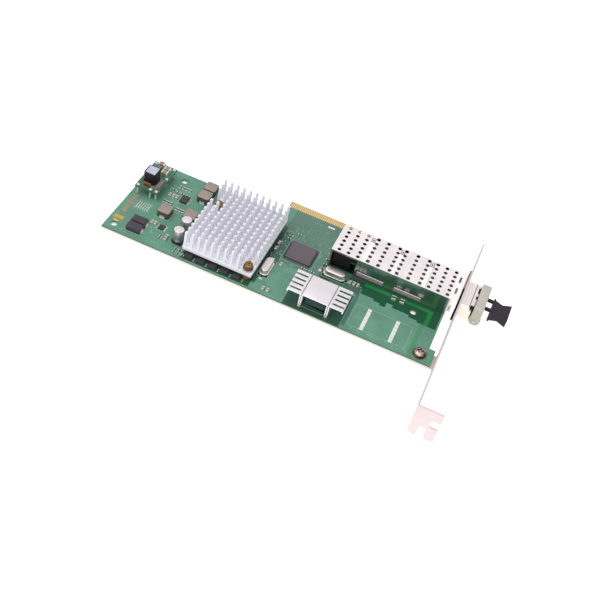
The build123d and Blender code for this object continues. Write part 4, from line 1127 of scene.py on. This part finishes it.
class DressPort(bpy.types.Operator):
    """Cage, cover, collar, connector and transceiver"""
    bl_idname = "card.dress_port"
    bl_label = "Optical port"

    # In millimetres on the board: columns between the cover's ends are in the cover, not the cage
    VENT_COLUMNS = (106.5, 111.3, 116.1, 121.35, 126.65, 132.61, 136.25, 142.21, 148.16, 152.7,
                    157.5, 162.3)
    COVER_ENDS = (118, 151)
    VENT_ROWS = 6
    VENT_PITCH = 3.4
    VENT_RADIUS, VENT_SIDES = 0.96, 20
    PUNCH_DEPTH = 1.2
    LOCK_COLUMNS = (119.3, 134.7, 150.2)
    LOCK_SLOT = (-1.0, 1.0, 50.6, 53.8)
    LOCK_TONGUE = (-0.35, 0.35, 51.5, 52.7)
    LOCK_WIDTH, LOCK_HEIGHT = 0.3, 0.05
    # The black connector's rib and the stem that carries it
    RIB_REACH, RIB_LOW, RIB_HIGH = 3.9, 0.7, 1.9
    STEM_INSET, STEM_LOW, STEM_HIGH = 2.0, -0.1, 0.8

    def punch(self, piece, node):
        """Cuts the round vents that lie on this node through its top."""
        low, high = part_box(node)
        first, last = self.COVER_ENDS
        places = []
        for x in self.VENT_COLUMNS:
            column = spot(x, 0).x
            on_cover = first < x < last
            if low.x + MM < column < high.x - MM and on_cover == (node == "cage_window_cover"):
                for row in range(self.VENT_ROWS):
                    aside = (row - (self.VENT_ROWS - 1) / 2) * self.VENT_PITCH * MM
                    places.append((column, CAGE_MIDDLE + aside, CAGE_HIGH.z))
        deselect()
        bpy.ops.mesh.primitive_cylinder_add(vertices=self.VENT_SIDES, radius=self.VENT_RADIUS * MM,
                                            depth=self.PUNCH_DEPTH * MM)
        cut(piece, copies(bpy.context.object, places))
        pick(piece)
        bpy.ops.object.shade_smooth_by_angle(angle=SMOOTH_ANGLE)

    def ribbed_connector(self, edge):
        """The black connector in the cage's rear with the rib that shows above it."""
        x0, x1, y0, y1, _, top = board_box("host_connector")
        housing = merged_copy("host_connector", "housing")
        inset = self.STEM_INSET
        rib = plate(x0, x1 + self.RIB_REACH, y0, y1, top + self.RIB_LOW, top + self.RIB_HIGH)
        stem = plate(x0, x1 - inset, y0 + inset, y1 - inset, top + self.STEM_LOW, top + self.STEM_HIGH)
        housing = soften(join([housing, rib, stem], "ribbed_connector"), edge)
        add_piece(housing, "moulded_black", "black_moulding", "host_connector")

    def lock_slots(self):
        """A black outline with a tongue near the far end of each rib of the cover, painted shade that
        stands in for the slot cut there.
        """
        # Painted shade: black outlines stand in for the shade in the slots
        slot = outline(*self.LOCK_SLOT, self.LOCK_WIDTH, self.LOCK_HEIGHT * MM)
        tongue = plate(*self.LOCK_TONGUE, 0, self.LOCK_HEIGHT)
        slot = join([slot, tongue], "lock_slot")
        slots = copies(slot, [(x * MM, 0, RIB_TOP) for x in self.LOCK_COLUMNS])
        add_piece(join(slots, "rib_lock_slot_shades"), "moulded_black", "black_moulding")

    def execute(self, context):
        edge = context.scene.card_sizes.edge
        cage = merged_copy("transceiver_cage", "vented_cage")
        self.punch(cage, "transceiver_cage")
        add_piece(cage, "bright_nickel", "cage_sheet", "transceiver_cage")
        cover = close_seams(merged_copy("cage_window_cover", "vented_cover"))
        self.punch(cover, "cage_window_cover")
        add_piece(cover, "bright_nickel", "cage_sheet", "cage_window_cover")
        paint("bright_nickel", "cage_collar")
        self.ribbed_connector(edge / 2)
        self.lock_slots()
        paint("card_laminate", "transceiver_card")
        paint("pivot_steel", "latch_pin")
        rework("transceiver_body", "transceiver_shell", "zinc_casting", "cast_zinc", edge)
        rework("optical_port", "twin_socket", "moulded_black", "black_moulding", edge)
        rework("transceiver_latch", "bail_latch", "latch_paint", "beige_latch", edge * 2)
        rework("dust_plug", "twin_dust_plug", "soft_rubber", "plug_rubber", edge * 1.5)
        return {"FINISHED"}


class DressCooling(bpy.types.Operator):
    """Heat sinks, spring pins and what they cool"""
    bl_idname = "card.dress_cooling"
    bl_label = "Cooling"

    SPRING_RADIUS = 2.2 * MM
    SPRING_WIRE = 0.23 * MM
    SPRING_TURNS = 3

    def execute(self, context):
        edge = context.scene.card_sizes.edge
        rework("main_heatsink", "pin_fin_heatsink", "anodised_aluminium", "heatsink_aluminium", edge)
        rework("push_pins", "turned_pins", "turned_brass", "brass_pin", edge / 2)
        rework("small_heatsink", "folded_heatsink", "tinned_sheet", "sink_tin", edge)
        rework("power_regulator", "flat_power_package", "shaded_regulator_case", "chip_black", edge / 2)
        low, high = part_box("push_pin_springs")
        pitch = (high.z - low.z - 2 * self.SPRING_WIRE) / self.SPRING_TURNS
        spring = coil((0, 0, low.z + self.SPRING_WIRE), self.SPRING_RADIUS, self.SPRING_WIRE, pitch,
                      self.SPRING_TURNS)
        springs = join(copies(spring, PIN_PLACES), "round_wire_springs")
        add_piece(springs, "round_wire", "spring_wire", "push_pin_springs")
        paint("spacer_resin", "push_pin_spacers")
        paint("chip_package", "network_processor")
        paint("grey_pad", "thermal_pad")
        return {"FINISHED"}


class DressChips(bpy.types.Operator):
    """Chips, crystals and their leads"""
    bl_idname = "card.dress_chips"
    bl_label = "Chips"

    def execute(self, context):
        edge = context.scene.card_sizes.edge
        rework("interface_chip", "flat_pack_body", "grey_package", "chip_grey", edge / 2)
        paint("shaded_lead", "interface_chip_leads")
        paint("tinned_lead", "regulator_leads", "inductor_terminals", "tantalum_terminals")
        paint("chip_package", "regulator_chip_a", "regulator_chip_b", "clock_buffer", "driver_chips",
              "resistor_arrays", "chip_resistors", "surface_diodes")
        for letter in "ab":
            rework(f"crystal_{letter}", f"crystal_can_{letter}", "drawn_crystal", "crystal_can", edge)
        paint("moulded_black", "crystal_seats")
        return {"FINISHED"}


class DressPower(bpy.types.Operator):
    """Raised converter, inductors and capacitors"""
    bl_idname = "card.dress_power"
    bl_label = "Power parts"

    COIL_WIRE = 0.26 * MM
    COIL_TURNS = 7
    # The groove above a can's base, its narrower neck, and the rounding of the rim
    GROOVE = (1.1, 1.4, 1.6, 1.9)
    NECK = 0.94
    RIM, RIM_FLAT = 0.12, 0.4
    # Small parts in front of the raised choke: left sides, width, near and far side, and height
    SMALL_PARTS = (8.8, 10.0, 11.2)
    SMALL_WIDTH, SMALL_NEAR, SMALL_FAR, SMALL_HEIGHT = 0.8, 1.5, 0.3, 0.6

    def drawn_can(self, letter):
        """A can with a groove above its base and a rounded rim."""
        x0, x1, y0, y1, low, high = board_box(f"electrolytic_can_{letter}")
        radius, height = (x1 - x0) / 2, high - low
        neck = radius * self.NECK
        steps = ((radius, 0.0), *zip((radius, neck, neck, radius), self.GROOVE),
                 (radius, height - self.RIM_FLAT), (radius - self.RIM, height - self.RIM),
                 (radius - self.RIM_FLAT, height))
        can = turned(steps, spot((x0 + x1) / 2, (y0 + y1) / 2, low))
        can.name = f"drawn_can_{letter}"
        add_piece(can, "drawn_can", "can_aluminium", f"electrolytic_can_{letter}")

    def winding(self):
        """The copper coil that lies beside the raised choke."""
        x0, x1, y0, y1, z0, z1 = board_box("converter_coil")
        wire = self.COIL_WIRE
        radius = (y1 - y0) / 2 * MM - wire
        start = spot(x0, (y0 + y1) / 2, (z0 + z1) / 2) + Vector((wire, 0, 0))
        pitch = ((x1 - x0) * MM - 2 * wire) / self.COIL_TURNS
        winding = coil(start, radius, wire, pitch, self.COIL_TURNS, lying=True)
        winding.name = "wound_coil"
        add_piece(winding, "enamelled_copper", "copper_wire", "converter_coil")

    def small_parts(self, edge):
        """Three tiny parts on the raised board in front of the choke."""
        _, _, choke, _, _, _ = board_box("converter_inductor")
        _, _, _, _, _, top = board_box("converter_board")
        part = plate(0, self.SMALL_WIDTH, choke - self.SMALL_NEAR, choke - self.SMALL_FAR,
                     top, top + self.SMALL_HEIGHT)
        parts = copies(soften(part, edge), [(x * MM, 0, 0) for x in self.SMALL_PARTS])
        add_piece(join(parts, "converter_small_parts"), "tan_ceramic", "ceramic_tan")

    def execute(self, context):
        edge = context.scene.card_sizes.edge
        rework("converter_inductor", "raised_choke", "moulded_black", "black_moulding", edge)
        for number in range(1, 5):
            rework(f"power_inductor_{number}", f"pressed_inductor_{number}", "pressed_powder",
                   "ferrite_tan", edge)
        for letter in "ab":
            rework(f"tantalum_capacitor_{letter}", f"tantalum_case_{letter}", "tantalum_case",
                   "tantalum_black", edge)
            self.drawn_can(letter)
        self.winding()
        self.small_parts(edge / 2)
        paint("moulded_black", "electrolytic_bases")
        paint("converter_mask", "converter_board")
        paint("solder_tin", "converter_pins")
        paint("blank_label", "inductor_label")
        paint("pale_case", "converter_chips")
        paint("tan_ceramic", "converter_capacitors", "chip_capacitors")
        return {"FINISHED"}


PIECE_OPERATORS = (MakeFinishes, SetStage, DressBoard, DrawLegend, LayTraces, CapParts, DressBracket,
                   DressPort, DressCooling, DressChips, DressPower)


class CardPanel(bpy.types.Panel):
    """Lists the card's operators and settings"""
    bl_idname = "VIEW3D_PT_network_card"
    bl_label = "Network Card"
    bl_space_type = "VIEW_3D"
    bl_region_type = "UI"
    bl_category = "Network Card"

    def draw(self, context):
        for operator in PIECE_OPERATORS:
            self.layout.operator(operator.bl_idname)
        for group in (context.scene.card_colours, context.scene.card_sizes, context.scene.card_stage):
            box = self.layout.box()
            for name in group.bl_rna.properties.keys():
                if name not in ("rna_type", "name"):
                    box.prop(group, name)


CLASSES = (CardColours, CardSizes, StageSettings, *PIECE_OPERATORS, CardPanel)


def register():
    for kind in CLASSES:
        bpy.utils.register_class(kind)
    bpy.types.Scene.card_colours = bpy.props.PointerProperty(type=CardColours)
    bpy.types.Scene.card_sizes = bpy.props.PointerProperty(type=CardSizes)
    bpy.types.Scene.card_stage = bpy.props.PointerProperty(type=StageSettings)


def unregister():
    del bpy.types.Scene.card_stage
    del bpy.types.Scene.card_sizes
    del bpy.types.Scene.card_colours
    for kind in reversed(CLASSES):
        bpy.utils.unregister_class(kind)


def main():
    register()
    for operator in PIECE_OPERATORS:
        group, name = operator.bl_idname.split(".")
        getattr(getattr(bpy.ops, group), name)()
    deselect()


if __name__ == "__main__":
    main()
